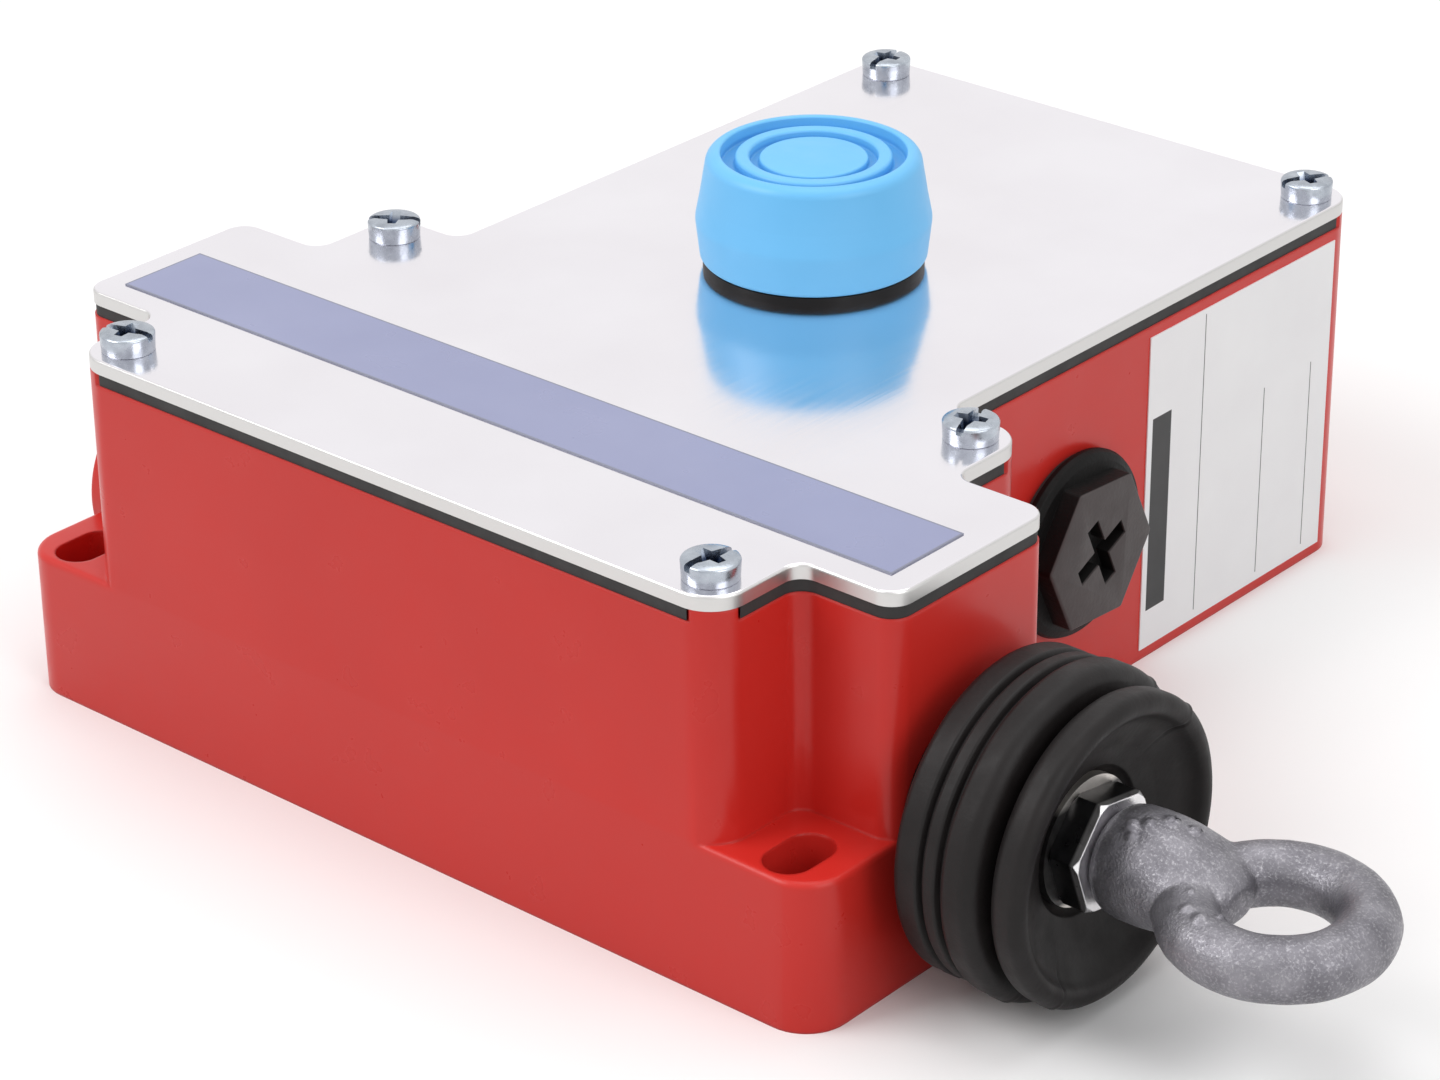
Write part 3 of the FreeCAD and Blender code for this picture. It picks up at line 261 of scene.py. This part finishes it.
def nut_metal():
    """Zinc nut: flats painted near black for the dark reflections they catch, front chamfer and
    face painted bright as a highlight.
    """
    p = Paint("nut_zinc")
    front = p.spread(p.axis(0), 0.1056, 0.1060)
    painted_dark_flats = p.mix(p.spread(p.noise(300, 3), 0.3, 0.7), (0.05, 0.05, 0.053), (0.085, 0.085, 0.09))
    # painted reflection and highlight: near black flats, a bright front face and chamfer
    p.colour(p.mix(front, painted_dark_flats, (0.82, 0.81, 0.82)))
    p.rough(p.spread(p.noise(500, 3), 0.3, 0.7, 0.26, 0.38))
    p.bump((p.noise(700, 3), 0.1, 0.0002), edge=0.0003)
    p.set(Metallic=1.0)
    return p.material


def washer_metal():
    """Zinc washer, painted dark round the nut for the dark reflections it shows, with painted
    highlights at its top and low edge.
    """
    p = Paint("washer_zinc")
    upper = p.spread(p.axis(2), 0.0318, 0.0328)
    lower = p.spread(p.axis(2), 0.0166, 0.0174, 1, 0)
    painted_highlights = p.math("MAXIMUM", upper, lower)
    mottled = p.spread(p.noise(260, 3), 0.3, 0.7)
    painted_dark_reflection = p.mix(mottled, (0.06, 0.058, 0.058), (0.13, 0.126, 0.124))
    # painted highlights at the top and low edge over a painted dark reflection elsewhere
    p.colour(p.mix(painted_highlights, painted_dark_reflection, (0.74, 0.70, 0.66)))
    p.rough(p.spread(p.noise(400, 4), 0.3, 0.7, 0.36, 0.50))
    p.bump((p.noise(500, 3), 0.1, 0.0003))
    p.set(Metallic=1.0)
    return p.material


def rubber(name, low, high, rough=0.62, specks=False, bump=0.18, shine=0.5):
    p = Paint(name)
    p.set(Specular_IOR_Level=shine)
    tone = p.mix(p.spread(p.noise(120, 4), 0.3, 0.7), low, high)
    if specks:
        dots = p.spread(p.noise(900, 1, kind="cells"), 0.055, 0.035)
        chance = p.spread(p.noise(170, 2), 0.60, 0.66)
        dust = p.math("MULTIPLY", p.math("MULTIPLY", dots, chance), 0.5)
        tone = p.mix(dust, tone, (0.2, 0.19, 0.19))
    p.colour(tone)
    p.rough(p.spread(p.noise(260, 3), 0.3, 0.7, rough - 0.07, rough + 0.07))
    p.bump((p.noise(1400, 3), bump, 0.0002), (p.noise(150, 2), bump * 0.7, 0.0006))
    return p.material


def blue_rubber():
    """Silky silicone cap: clear blue, with painted shade in a deeper blue down in the grooves."""
    p = Paint("blue_rubber")
    tone = p.mix(p.spread(p.noise(70, 3), 0.3, 0.7), (0.135, 0.478, 0.825), (0.152, 0.502, 0.855))
    low = p.math("MULTIPLY", p.band(2, 0.0789, 0.0804, 0.0002), p.ring(0, 0.0633, 0.0147))
    # painted shade: the groove floors inside the rim are coloured a deeper blue
    p.colour(p.mix(p.math("MULTIPLY", low, 0.55), tone, (0.06, 0.29, 0.63)))
    p.rough(p.spread(p.noise(260, 3), 0.3, 0.7, 0.38, 0.46))
    p.bump((p.noise(1400, 3), 0.03, 0.0002), (p.noise(150, 2), 0.03, 0.0006))
    return p.material


def plastic(name, low, high, rough=0.45, bump=0.12, scale=900, shine=0.5):
    p = Paint(name)
    p.set(Specular_IOR_Level=shine)
    p.colour(p.mix(p.spread(p.noise(70, 3), 0.3, 0.7), low, high))
    p.rough(p.spread(p.noise(300, 3), 0.3, 0.7, rough - 0.06, rough + 0.06))
    p.bump((p.noise(scale, 3), bump, 0.0002))
    return p.material


def plug_moulding():
    """Black moulding: flats, flange and driver slot painted near black as shade, the flat front
    face a lighter black.
    """
    p = Paint("plug_moulding")
    front = p.spread(p.axis(0), 0.0560, 0.0562)
    face = p.mix(p.spread(p.noise(70, 3), 0.3, 0.7), (0.050, 0.041, 0.041), (0.066, 0.055, 0.055))
    # painted shade: everything behind the front face, driver slot included, is coloured near black
    p.colour(p.mix(front, (0.004, 0.0036, 0.0036), face))
    p.rough(p.spread(p.noise(300, 3), 0.3, 0.7, 0.44, 0.56))
    p.bump((p.noise(1400, 3), 0.3, 0.0002))
    p.link(p.spread(front, 0, 1, 0.14, 0.35), p.shader.inputs["Specular IOR Level"])
    return p.material


def strip_foil():
    """Printed foil: soft blue inside a thin darker outline, slight lay-flat waves."""
    p = Paint("blue_foil")
    tone = p.mix(p.spread(p.noise(40, 3), 0.3, 0.7), (0.245, 0.260, 0.415), (0.272, 0.288, 0.448))
    inside = p.math("MULTIPLY", p.band(0, -0.0767, 0.0767), p.band(1, -0.0122, 0.0031))
    p.colour(p.mix(inside, (0.20, 0.21, 0.28), tone))
    p.rough(p.spread(p.noise(120, 3), 0.3, 0.7, 0.26, 0.34))
    p.bump((p.noise(60, 2), 0.03, 0.0006))
    return p.material


def label_foil():
    """White label with one dark band and three thin rules."""
    p = Paint("white_label")
    white = p.mix(p.spread(p.noise(60, 3), 0.3, 0.7), (0.88, 0.87, 0.885), (0.92, 0.915, 0.925))
    marks = p.math("MULTIPLY", p.band(1, 0.0861, 0.0911), p.band(2, 0.0086, 0.0425))
    for y, top in ((0.0995, 0.056), (0.117, 0.037), (0.1303, 0.037)):
        rule = p.math("MULTIPLY", p.band(1, y, y + 0.0002), p.band(2, 0.0035, top))
        marks = p.math("MAXIMUM", marks, rule)
    p.colour(p.mix(marks, white, (0.012, 0.012, 0.013)))
    p.rough(p.spread(p.noise(200, 3), 0.3, 0.7, 0.32, 0.42))
    p.bump((p.noise(80, 2), 0.06, 0.0006))
    return p.material


MATERIALS = {
    "red": red_paint(),
    "sheet": plate_metal(),
    "zinc": screw_metal(),
    "plated": metal("plated_zinc", (0.42, 0.45, 0.50), (0.54, 0.57, 0.62), 0.20, 0.34, 0.12, 700),
    "nut": nut_metal(),
    "washer": washer_metal(),
    "ground": metal("ground_steel", (0.50, 0.50, 0.52), (0.60, 0.60, 0.61), 0.22, 0.34),
    "spring": metal("spring_steel", (0.28, 0.28, 0.30), (0.38, 0.38, 0.40), 0.30, 0.42),
    "bronze": metal("bearing_bronze", (0.46, 0.32, 0.15), (0.58, 0.42, 0.21), 0.35, 0.5),
    "brass": metal("screw_brass", (0.62, 0.46, 0.20), (0.74, 0.57, 0.27), 0.22, 0.35),
    "forged": forged_metal(),
    "gasket": rubber("gasket_rubber", (0.022, 0.021, 0.021), (0.034, 0.033, 0.033), 0.7),
    "bellows": rubber("bellows_rubber",
                      (0.0070, 0.0056, 0.0056), (0.0125, 0.0100, 0.0100), 0.50, True, 0.18, 0.24),
    "blue": blue_rubber(),
    "plug": plug_moulding(),
    "black": plastic("black_moulding",
                     (0.024, 0.0215, 0.0215), (0.034, 0.031, 0.031), 0.5, 0.3, 1400),
    "dark": plastic("bezel_moulding",
                    (0.004, 0.0037, 0.0037), (0.007, 0.0065, 0.0065), 0.45, 0.1, 900, 0.2),
    "grey": plastic("grey_moulding", (0.22, 0.23, 0.25), (0.27, 0.28, 0.30), 0.5),
    "cream": plastic("cream_moulding", (0.60, 0.55, 0.45), (0.68, 0.63, 0.53), 0.45),
    "strip": strip_foil(),
    "label": label_foil(),
}

NODE_FINISH = {
    "housing": "red", "end_cap": "red", "cover_plate": "sheet", "cover_gasket": "gasket",
    "cover_strip": "strip", "side_label": "label", "front_bush": "bronze", "pull_shaft": "ground",
    "cam_sleeve": "ground", "cam_pin": "ground", "spring_seat": "ground", "seat_clip": "spring",
    "clamp_washer": "washer", "lock_nut": "nut", "plug_seal": "gasket", "contact_base": "grey",
    "contact_block_left": "cream", "contact_block_right": "cream", "terminal_screws": "brass",
    "contact_slide": "grey", "base_screws": "plated", "earth_screw": "brass", "reset_bezel": "dark",
    "reset_pusher": "grey", "reset_nut": "black", "latch_lever": "ground", "latch_pin": "ground",
}


def dress(obj, finish):
    obj.data.materials.clear()
    obj.data.materials.append(MATERIALS[finish])
    return obj


def soften(obj, angle=32):
    """Smooth shading that keeps the real edges of a tessellated solid sharp."""
    for face in obj.data.polygons:
        face.use_smooth = True
    weld = obj.modifiers.new("weld", "WELD")
    weld.merge_threshold = 0.000004
    split = obj.modifiers.new("edges", "EDGE_SPLIT")
    split.split_angle = math.radians(angle)
    split.use_edge_sharp = False


for name, finish in NODE_FINISH.items():
    dress(nodes[name], finish)

# Mesh tools


def new_piece(name, verts, faces, smooth=True):
    mesh = bpy.data.meshes.new(name)
    mesh.from_pydata([tuple(v) for v in verts], [], faces)
    mesh.validate()
    mesh.update()
    for face in mesh.polygons:
        face.use_smooth = smooth
    obj = bpy.data.objects.new(name, mesh)
    bpy.context.scene.collection.objects.link(obj)
    return obj


def rounded(corners, steps=6):
    """Polyline through corners (station, radius[, rounding]) with the rounded ones as arcs."""
    pts = [Vector((c[0], c[1])) for c in corners]
    path = []
    for k, corner in enumerate(corners):
        if len(corner) == 2 or corner[2] == 0:
            path.append(pts[k])
            continue
        a = (pts[k - 1] - pts[k]).normalized()
        b = (pts[(k + 1) % len(pts)] - pts[k]).normalized()
        half = a.angle(b) / 2
        reach = corner[2] / math.tan(half)
        centre = pts[k] + (a + b).normalized() * corner[2] / math.sin(half)
        first = pts[k] + a * reach - centre
        last = pts[k] + b * reach - centre
        for i in range(steps + 1):
            t = i / steps
            way = first.lerp(last, t)
            path.append(centre + way.normalized() * corner[2])
    return path


def lathe(name, path, centre, along="x", segments=128, closed=True, shape=None):
    """Turns a (station, radius) path in mm about X or Z. shape may move each point."""
    verts, faces = [], []
    for i in range(segments):
        angle = 2 * math.pi * i / segments
        c, s = math.cos(angle), math.sin(angle)
        for station, radius in path:
            point = Vector((station, radius * c, radius * s))
            if along == "z":
                point = Vector((radius * c, radius * s, station))
            if shape:
                point = shape(point, angle, station, radius)
            verts.append((point + Vector(centre)) * MM)
    count = len(path)
    last = count if closed else count - 1
    for i in range(segments):
        j = (i + 1) % segments
        for k in range(last):
            m = (k + 1) % count
            faces.append((i * count + k, i * count + m, j * count + m, j * count + k))
    obj = new_piece(name, verts, faces)
    tidy(obj)
    return obj


def tidy(obj):
    """Merge the points on the turning axis and make all faces look outwards."""
    bm = bmesh.new()
    bm.from_mesh(obj.data)
    bmesh.ops.remove_doubles(bm, verts=bm.verts, dist=0.000002)
    bmesh.ops.dissolve_degenerate(bm, edges=bm.edges, dist=0.000001)
    bmesh.ops.recalc_face_normals(bm, faces=bm.faces)
    bm.to_mesh(obj.data)
    bm.free()
    for face in obj.data.polygons:
        face.use_smooth = True


def sharpen(obj, angle=35):
    split = obj.modifiers.new("edges", "EDGE_SPLIT")
    split.split_angle = math.radians(angle)
    split.use_edge_sharp = False
    return obj


def applied(obj):
    """Bake a piece's modifiers into its mesh."""
    graph = bpy.context.evaluated_depsgraph_get()
    graph.update()
    mesh = bpy.data.meshes.new_from_object(obj.evaluated_get(graph))
    obj.modifiers.clear()
    obj.data = mesh
    return obj


def carve(obj, tool, operation="DIFFERENCE"):
    cut = obj.modifiers.new("carve", "BOOLEAN")
    cut.operation = operation
    cut.solver = "EXACT"
    cut.object = tool
    applied(obj)
    bpy.data.objects.remove(tool)
    return obj


def bevel(obj, width, segments=3, angle=35):
    mod = obj.modifiers.new("bevel", "BEVEL")
    mod.width = width * MM
    mod.segments = segments
    mod.limit_method = "ANGLE"
    mod.angle_limit = math.radians(angle)
    mod.use_clamp_overlap = True
    return applied(obj)


def block(name, size, centre, turn=None):
    """A closed box in mm, used as a cutter or as raw stock for a bevelled piece."""
    verts = []
    for x in (-0.5, 0.5):
        for y in (-0.5, 0.5):
            for z in (-0.5, 0.5):
                point = Vector((x * size[0], y * size[1], z * size[2]))
                if turn:
                    point = turn @ point
                verts.append((point + Vector(centre)) * MM)
    faces = [(0, 1, 3, 2), (4, 6, 7, 5), (0, 4, 5, 1), (2, 3, 7, 6), (0, 2, 6, 4), (1, 5, 7, 3)]
    obj = new_piece(name, verts, faces, smooth=False)
    tidy(obj)
    return obj


def joined(name, objects):
    """Several meshes as one piece."""
    verts, faces = [], []
    for obj in objects:
        base = len(verts)
        verts += [obj.matrix_world @ v.co for v in obj.data.vertices]
        faces += [tuple(base + i for i in face.vertices) for face in obj.data.polygons]
    merged = new_piece(name, verts, faces)
    for obj in objects:
        bpy.data.objects.remove(obj)
    return merged


# Bellows

AXIS = (0, 0, 25.0)


def bellows_path():
    face, hub = 81.6, 100.4
    outer = [
        (face, 15.7, 0.3), (face + 2.6, 15.7, 1.2), (face + 5.6, 24.4, 1.4),
        (face + 9.4, 24.4, 0.55), (face + 10.1, 22.9, 0.25), (face + 10.7, 24.4, 0.45),
        (face + 12.6, 24.4, 0.55), (face + 13.4, 22.8, 0.3), (face + 14.0, 24.9, 1.2),
        (face + 19.2, 24.9, 2.4), (face + 19.7, 14.6, 0.45), (face + 20.6, 14.6, 0.4),
        (hub + 1.6, 23.2, 2.4), (hub + 6.8, 23.2, 1.8), (hub + 7.5, 20.6, 1.6),
        (hub + 5.0, 18.9, 4.5), (hub + 2.9, 14.4, 5.0), (hub + 1.8, 11.2, 0.6), (hub, 10.1),
        (hub, 5.3),
    ]
    inner = [
        (hub - 1.6, 5.3), (hub - 1.6, 13.0), (face + 17.2, 22.0, 1.0), (face + 6.6, 22.0),
        (face + 4.6, 14.1), (face, 14.1),
    ]
    return rounded(outer + inner, 7)


def bellows_shape(point, angle, station, radius):
    """Mould-flash lines in the parting plane and a slightly uneven skin."""
    if radius < 15:
        return point
    swell = noise.noise(Vector((point.x, point.y, point.z)) * 0.11) * 0.10
    for seam in (math.radians(43), math.radians(236)):
        away = abs((angle - seam + math.pi) % (2 * math.pi) - math.pi) * radius
        if away < 0.55:
            swell += 0.34 * (1 - away / 0.55) ** 2
    scale = (radius + min(swell, 0.26)) / radius
    return Vector((point.x, point.y * scale, point.z * scale))


bellows = lathe("bellows_skin", bellows_path(), AXIS, segments=480, shape=bellows_shape)
dress(bellows, "bellows")
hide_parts("bellows")
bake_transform(bellows)

# Springs


def coil(name, mean, wire, turns, start, end, centre, along):
    """A wire helix with closed ends between two seats, sizes in mm."""
    steps, sides = int(turns * 40), 14
    verts, faces = [], []
    for i in range(steps + 1):
        t = i / steps
        angle = 2 * math.pi * turns * t
        eased = t + math.sin(2 * math.pi * t) * -0.03
        station = start + wire + (end - start - 2 * wire) * eased
        for k in range(sides):
            turn = 2 * math.pi * k / sides
            r = mean + wire * math.cos(turn)
            rise = station + wire * math.sin(turn)
            c, s = r * math.cos(angle), r * math.sin(angle)
            point = Vector((rise, c, s)) if along == "x" else Vector((c, s, rise))
            verts.append((point + Vector(centre)) * MM)
    for i in range(steps):
        for k in range(sides):
            m = (k + 1) % sides
            a, b = i * sides, (i + 1) * sides
            faces.append((a + k, a + m, b + m, b + k))
    faces.append(tuple(range(sides)))
    faces.append(tuple(range(steps * sides + sides - 1, steps * sides - 1, -1)))
    obj = new_piece(name, verts, faces)
    tidy(obj)
    return obj


spring = coil("main_spring_wire", 10.2, 1.2, 6, 30.1, 66.4, AXIS, "x")
dress(spring, "spring")
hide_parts("main_spring")
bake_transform(spring)

RESET = (0, 63.3, 0)
small = coil("reset_spring_wire", 10.4, 0.6, 4, 64.5, 74.9, RESET, "z")
dress(small, "spring")
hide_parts("reset_spring")
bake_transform(small)

# Reset button


def boot_path():
    base, top = 64.5, 81.9
    return rounded([
        (base, 16.2), (base, 17.9, 0.9), (base + 6.6, 18.65, 4.0), (top - 7.0, 17.9, 4.0),
        (top, 16.75, 1.9), (top, 14.6, 0.35), (top - 2.2, 14.5, 0.35), (top - 2.2, 12.4, 0.35),
        (top - 0.5, 12.3, 0.6), (top - 0.5, 10.1, 0.5), (top - 2.1, 10.0, 0.35),
        (top - 2.1, 8.6, 0.3), (top - 0.95, 8.5, 0.35), (top - 0.75, 4.0, 8.0),
        (top - 0.68, 0), (top - 3.6, 0), (top - 3.6, 15.2),
    ], 7)


boot = lathe("reset_boot_skin", boot_path(), RESET, "z", segments=256)
dress(boot, "blue")
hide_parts("reset_boot")
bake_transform(boot)

# Cover screws


def wedge(name, root, tip, length, depth, centre, turn):
    """A cross arm pair in mm: wide at the crossing, narrow at its ends, shallower outwards."""
    verts = []
    for z, shrink in ((-depth, 0.45), (0.4, 1.0)):
        for x, half in ((-length / 2, tip / 2), (0, root / 2), (length / 2, tip / 2)):
            for side in (-1, 1):
                point = Vector((x * shrink, half * side * (0.75 + 0.25 * shrink), z))
                verts.append((turn @ point + Vector(centre)) * MM)
    faces = [(0, 2, 3, 1), (2, 4, 5, 3), (6, 7, 9, 8), (8, 9, 11, 10), (0, 1, 7, 6), (4, 10, 11, 5),
             (0, 6, 8, 2), (2, 8, 10, 4), (1, 3, 9, 7), (3, 5, 11, 9)]
    obj = new_piece(name, verts, faces, smooth=False)
    tidy(obj)
    return obj


def cover_screw():
    head = rounded([
        (46.7, 0), (46.7, 2.3), (PLATE_TOP, 2.5), (PLATE_TOP, 4.1, 0.15),
        (PLATE_TOP + 2.9, 4.25, 0.45), (PLATE_TOP + 3.2, 3.2), (PLATE_TOP + 3.2, 0),
    ], 5)
    screw = lathe("screw", head, (0, 0, 0), "z", segments=64, closed=False)
    along = Matrix.Identity(3)
    across = Matrix.Rotation(math.radians(90), 3, "Z")
    top = (0, 0, PLATE_TOP + 3.2)
    carve(screw, block("tool", (9.4, 1.2, 2.4), top, along))
    carve(screw, wedge("tool", 2.1, 1.35, 5.4, 2.6, top, along))
    carve(screw, wedge("tool", 2.1, 1.35, 5.4, 2.6, top, across))
    return bevel(screw, 0.10, 2, 40)


def screw_set():
    """The same screw at each place, its slot left at the angle it was driven to."""
    pattern = cover_screw()
    copies = []
    for x, y, angle in SCREWS:
        copy = bpy.data.objects.new("screw", pattern.data)
        bpy.context.scene.collection.objects.link(copy)
        place = Matrix.Translation(Vector((x, y, 0)) * MM)
        copy.matrix_world = place @ Matrix.Rotation(math.radians(angle), 4, "Z")
        copies.append(copy)
    bpy.data.objects.remove(pattern)
    return joined("cover_screw_set", copies)


screws = screw_set()
sharpen(screws, 50)
dress(screws, "zinc")
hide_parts("cover_screws")
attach(screws, "base")

# Blanking plug

PLUG = Vector((0, 65.0, 29.4))


def blanking_plug():
    face = 53.0
    flange = lathe("flange", rounded([
        (41.1, 0), (41.1, 9.15, 0.5), (50.8, 9.15), (50.8, 15.3, 0.2), (51.7, 15.4, 0.3),
        (52.5, 15.0, 0.4), (face, 13.9, 0.3), (face, 0),
    ], 5), PLUG, segments=160, closed=False)
    corner = 22.7 / math.sqrt(3)
    ring = [(math.radians(56 + 60 * k), corner) for k in range(6)]
    verts = [Vector((x, r * math.cos(a), r * math.sin(a))) for x in (52.0, 56.4) for a, r in ring]
    verts = [(v + PLUG) * MM for v in verts]
    faces = [tuple(range(6)), tuple(range(11, 5, -1))]
    faces += [(k, (k + 1) % 6, 6 + (k + 1) % 6, 6 + k) for k in range(6)]
    head = new_piece("hex", verts, faces, smooth=False)
    tidy(head)
    bevel(head, 0.5, 3, 25)
    for angle in (25, 115):
        turn = Matrix.Rotation(math.radians(angle), 3, "X")
        carve(head, block("tool", (5.2, 12.0, 2.9), (56.4, PLUG.y, PLUG.z), turn))
    plug = carve(flange, head, "UNION")
    return bevel(plug, 0.12, 2, 40)


plug = blanking_plug()
plug.name = "blanking_plug_moulding"
sharpen(plug, 50)
dress(plug, "plug")
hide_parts("blanking_plug")
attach(plug, "base")

# Eyebolt


NECK = (  # station, half width in the ring's plane, half height across it
    (84.0, 4.6, 4.6), (84.4, 4.95, 4.95), (106.9, 4.95, 4.95), (107.0, 6.3, 6.3), (107.5, 7.0, 7.0),
    (108.4, 7.8, 7.8), (110.0, 8.2, 8.2), (112.5, 8.4, 8.3), (115.0, 8.6, 8.1), (117.0, 8.8, 7.7),
    (119.0, 9.0, 7.1), (121.0, 9.0, 6.4), (123.0, 8.6, 5.6), (125.0, 7.4, 4.6), (127.0, 5.0, 3.4),
    (128.0, 3.0, 2.2),
)
MARKS = (  # raised forging marks: centre in mm, radius, height
    (111.5, -3.2, 32.6, 1.7, 0.80), (113.6, -2.0, 32.9, 1.5, 0.85), (115.6, 0.8, 32.8, 1.7, 0.90),
    (118.6, 2.2, 32.0, 1.5, 0.80), (112.6, -4.4, 31.6, 1.1, 0.70), (126.5, -10.8, 28.6, 1.3, 0.80),
    (129.4, -12.0, 29.2, 1.6, 0.90), (131.0, -9.6, 28.9, 1.1, 0.75), (124.6, -7.2, 29.6, 1.0, 0.60),
)


def eyebolt():
    """Forged eye: neck and ring run into each other, over a skin of small lumps."""
    collar_end = 107.3
    verts, faces = [], []
    around = 72
    for x, wide, high in NECK:
        for i in range(around):
            a = 2 * math.pi * i / around
            verts.append(Vector((x, wide * math.cos(a), 25 + high * math.sin(a))) * MM)
    for k in range(len(NECK) - 1):
        for i in range(around):
            j = (i + 1) % around
            a, b = k * around, (k + 1) * around
            faces.append((a + i, a + j, b + j, b + i))
    faces.append(tuple(range(around)))
    faces.append(tuple(range(len(verts) - 1, len(verts) - around - 1, -1)))
    neck = new_piece("neck", verts, faces)
    tidy(neck)
    ring_r, wire = 12.08, 4.62
    ring_centre = Vector((133.75, 0, 24.75))
    lean = Matrix.Rotation(math.radians(1.0), 3, "X")
    verts, faces = [], []
    around, sides = 120, 36
    for i in range(around):
        a = 2 * math.pi * i / around
        for k in range(sides):
            b = 2 * math.pi * k / sides
            r = ring_r + wire * math.cos(b)
            point = lean @ Vector((r * math.cos(a), r * math.sin(a), wire * math.sin(b)))
            verts.append((point + ring_centre) * MM)
    for i in range(around):
        for k in range(sides):
            a, b = i * sides, ((i + 1) % around) * sides
            m = (k + 1) % sides
            faces.append((a + k, a + m, b + m, b + k))
    ring = new_piece("ring", verts, faces)
    tidy(ring)
    eye = joined("eye", [ring, neck])
    remesh = eye.modifiers.new("remesh", "REMESH")
    remesh.mode = "VOXEL"
    remesh.voxel_size = 0.35 * MM
    smooth = eye.modifiers.new("smooth", "SMOOTH")
    smooth.factor = 0.5
    smooth.iterations = 8
    applied(eye)
    for v in eye.data.vertices:
        p = v.co / MM
        if p.x < collar_end:
            continue
        lump = noise.noise(p * 0.16) * 0.14 + noise.noise(p * 0.5) * 0.05
        for x, y, z, radius, height in MARKS:
            away = (p - Vector((x, y, z))).length
            if away < radius:
                lump += height * (0.5 + 0.5 * math.cos(math.pi * away / radius))
        v.co += v.normal * min(lump, 0.85) * MM
    for face in eye.data.polygons:
        face.use_smooth = True
    return eye


eye = eyebolt()
eye.name = "eyebolt_forging"
dress(eye, "forged")
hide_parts("eyebolt")
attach(eye, "rope_shaft")

# Camera

AZIMUTH, ELEVATION, ROLL = (math.radians(v) for v in (41.21, 26.83, -0.56))
right = Vector((math.cos(AZIMUTH), math.sin(AZIMUTH), 0))
back = Vector((math.sin(AZIMUTH) * math.cos(ELEVATION), -math.cos(AZIMUTH) * math.cos(ELEVATION),
               math.sin(ELEVATION)))
up = back.cross(right)
right_rolled = right * math.cos(ROLL) + up * math.sin(ROLL)
up_rolled = up * math.cos(ROLL) - right * math.sin(ROLL)
camera_data = bpy.data.cameras.new("camera")
camera_data.sensor_width = 36
camera_data.lens = 36 * 4367.24 / 1440
camera_data.shift_x = (720 - 718.04) / 1440
camera_data.shift_y = (540.63 - 540) / 1440
camera_data.clip_start = 0.05
camera = bpy.data.objects.new("camera", camera_data)
turn = Matrix((right_rolled, up_rolled, back)).transposed().to_4x4()
camera.matrix_world = Matrix.Translation(Vector((406.36, -424.27, 334.91)) * MM) @ turn
bpy.context.scene.collection.objects.link(camera)
bpy.context.scene.camera = camera

# Floor and light


def stage_paint(name, seen, unseen):
    """Pale matte stage: near white where it is looked at or mirrored, a softer grey in bounces."""
    p = Paint(name)
    path = p.add("ShaderNodeLightPath")
    direct = p.math("MAXIMUM", path.outputs["Is Camera Ray"], path.outputs["Is Glossy Ray"])
    direct = p.math("MAXIMUM", direct, path.outputs["Is Transmission Ray"])
    grey = p.mix(p.spread(p.noise(4, 2), 0.3, 0.7), unseen, tuple(c * 1.02 for c in unseen))
    p.colour(p.mix(direct, grey, seen))
    p.set(Roughness=0.9, Specular_IOR_Level=0.1)
    return p.material


reach = 4
corners = [(-reach, -reach, 0), (reach, -reach, 0), (reach, reach, 0), (-reach, reach, 0)]
floor = new_piece("floor", corners, [(0, 1, 2, 3)], False)
floor.data.materials.append(stage_paint("stage_floor", (0.93, 0.93, 0.93), (0.52, 0.515, 0.51)))

scene = bpy.context.scene
scene.view_settings.view_transform = "Standard"
world = bpy.data.worlds.new("studio")
scene.world = world
world.use_nodes = True
tree = world.node_tree
background = tree.nodes["Background"]
background.inputs["Color"].default_value = (1, 1, 1, 1)
path = tree.nodes.new("ShaderNodeLightPath")
seen = tree.nodes.new("ShaderNodeMath")
seen.operation = "MAXIMUM"
tree.links.new(path.outputs["Is Camera Ray"], seen.inputs[0])
tree.links.new(path.outputs["Is Glossy Ray"], seen.inputs[1])
all_seen = tree.nodes.new("ShaderNodeMath")
all_seen.operation = "MAXIMUM"
tree.links.new(seen.outputs[0], all_seen.inputs[0])
tree.links.new(path.outputs["Is Transmission Ray"], all_seen.inputs[1])
level = tree.nodes.new("ShaderNodeMapRange")
level.inputs["To Min"].default_value = 0.62
level.inputs["To Max"].default_value = 1.0
tree.links.new(all_seen.outputs[0], level.inputs["Value"])
tree.links.new(level.outputs["Result"], background.inputs["Strength"])


def lamp(name, place, size, energy, aim=(0.02, 0.03, 0.03)):
    data = bpy.data.lights.new(name, "AREA")
    data.shape = "RECTANGLE"
    data.size, data.size_y = size
    data.energy = energy
    obj = bpy.data.objects.new(name, data)
    obj.location = place
    way = Vector(aim) - Vector(place)
    obj.rotation_euler = way.to_track_quat("-Z", "Y").to_euler()
    bpy.context.scene.collection.objects.link(obj)


lamp("key", (-0.55, -0.75, 0.95), (0.7, 0.7), 7.0)
lamp("fill", (0.9, -0.1, 0.6), (0.6, 0.6), 2.6)
lamp("top", (0.0, 0.25, 1.1), (0.9, 0.9), 4.0)

for name in NODE_FINISH:
    soften(nodes[name])
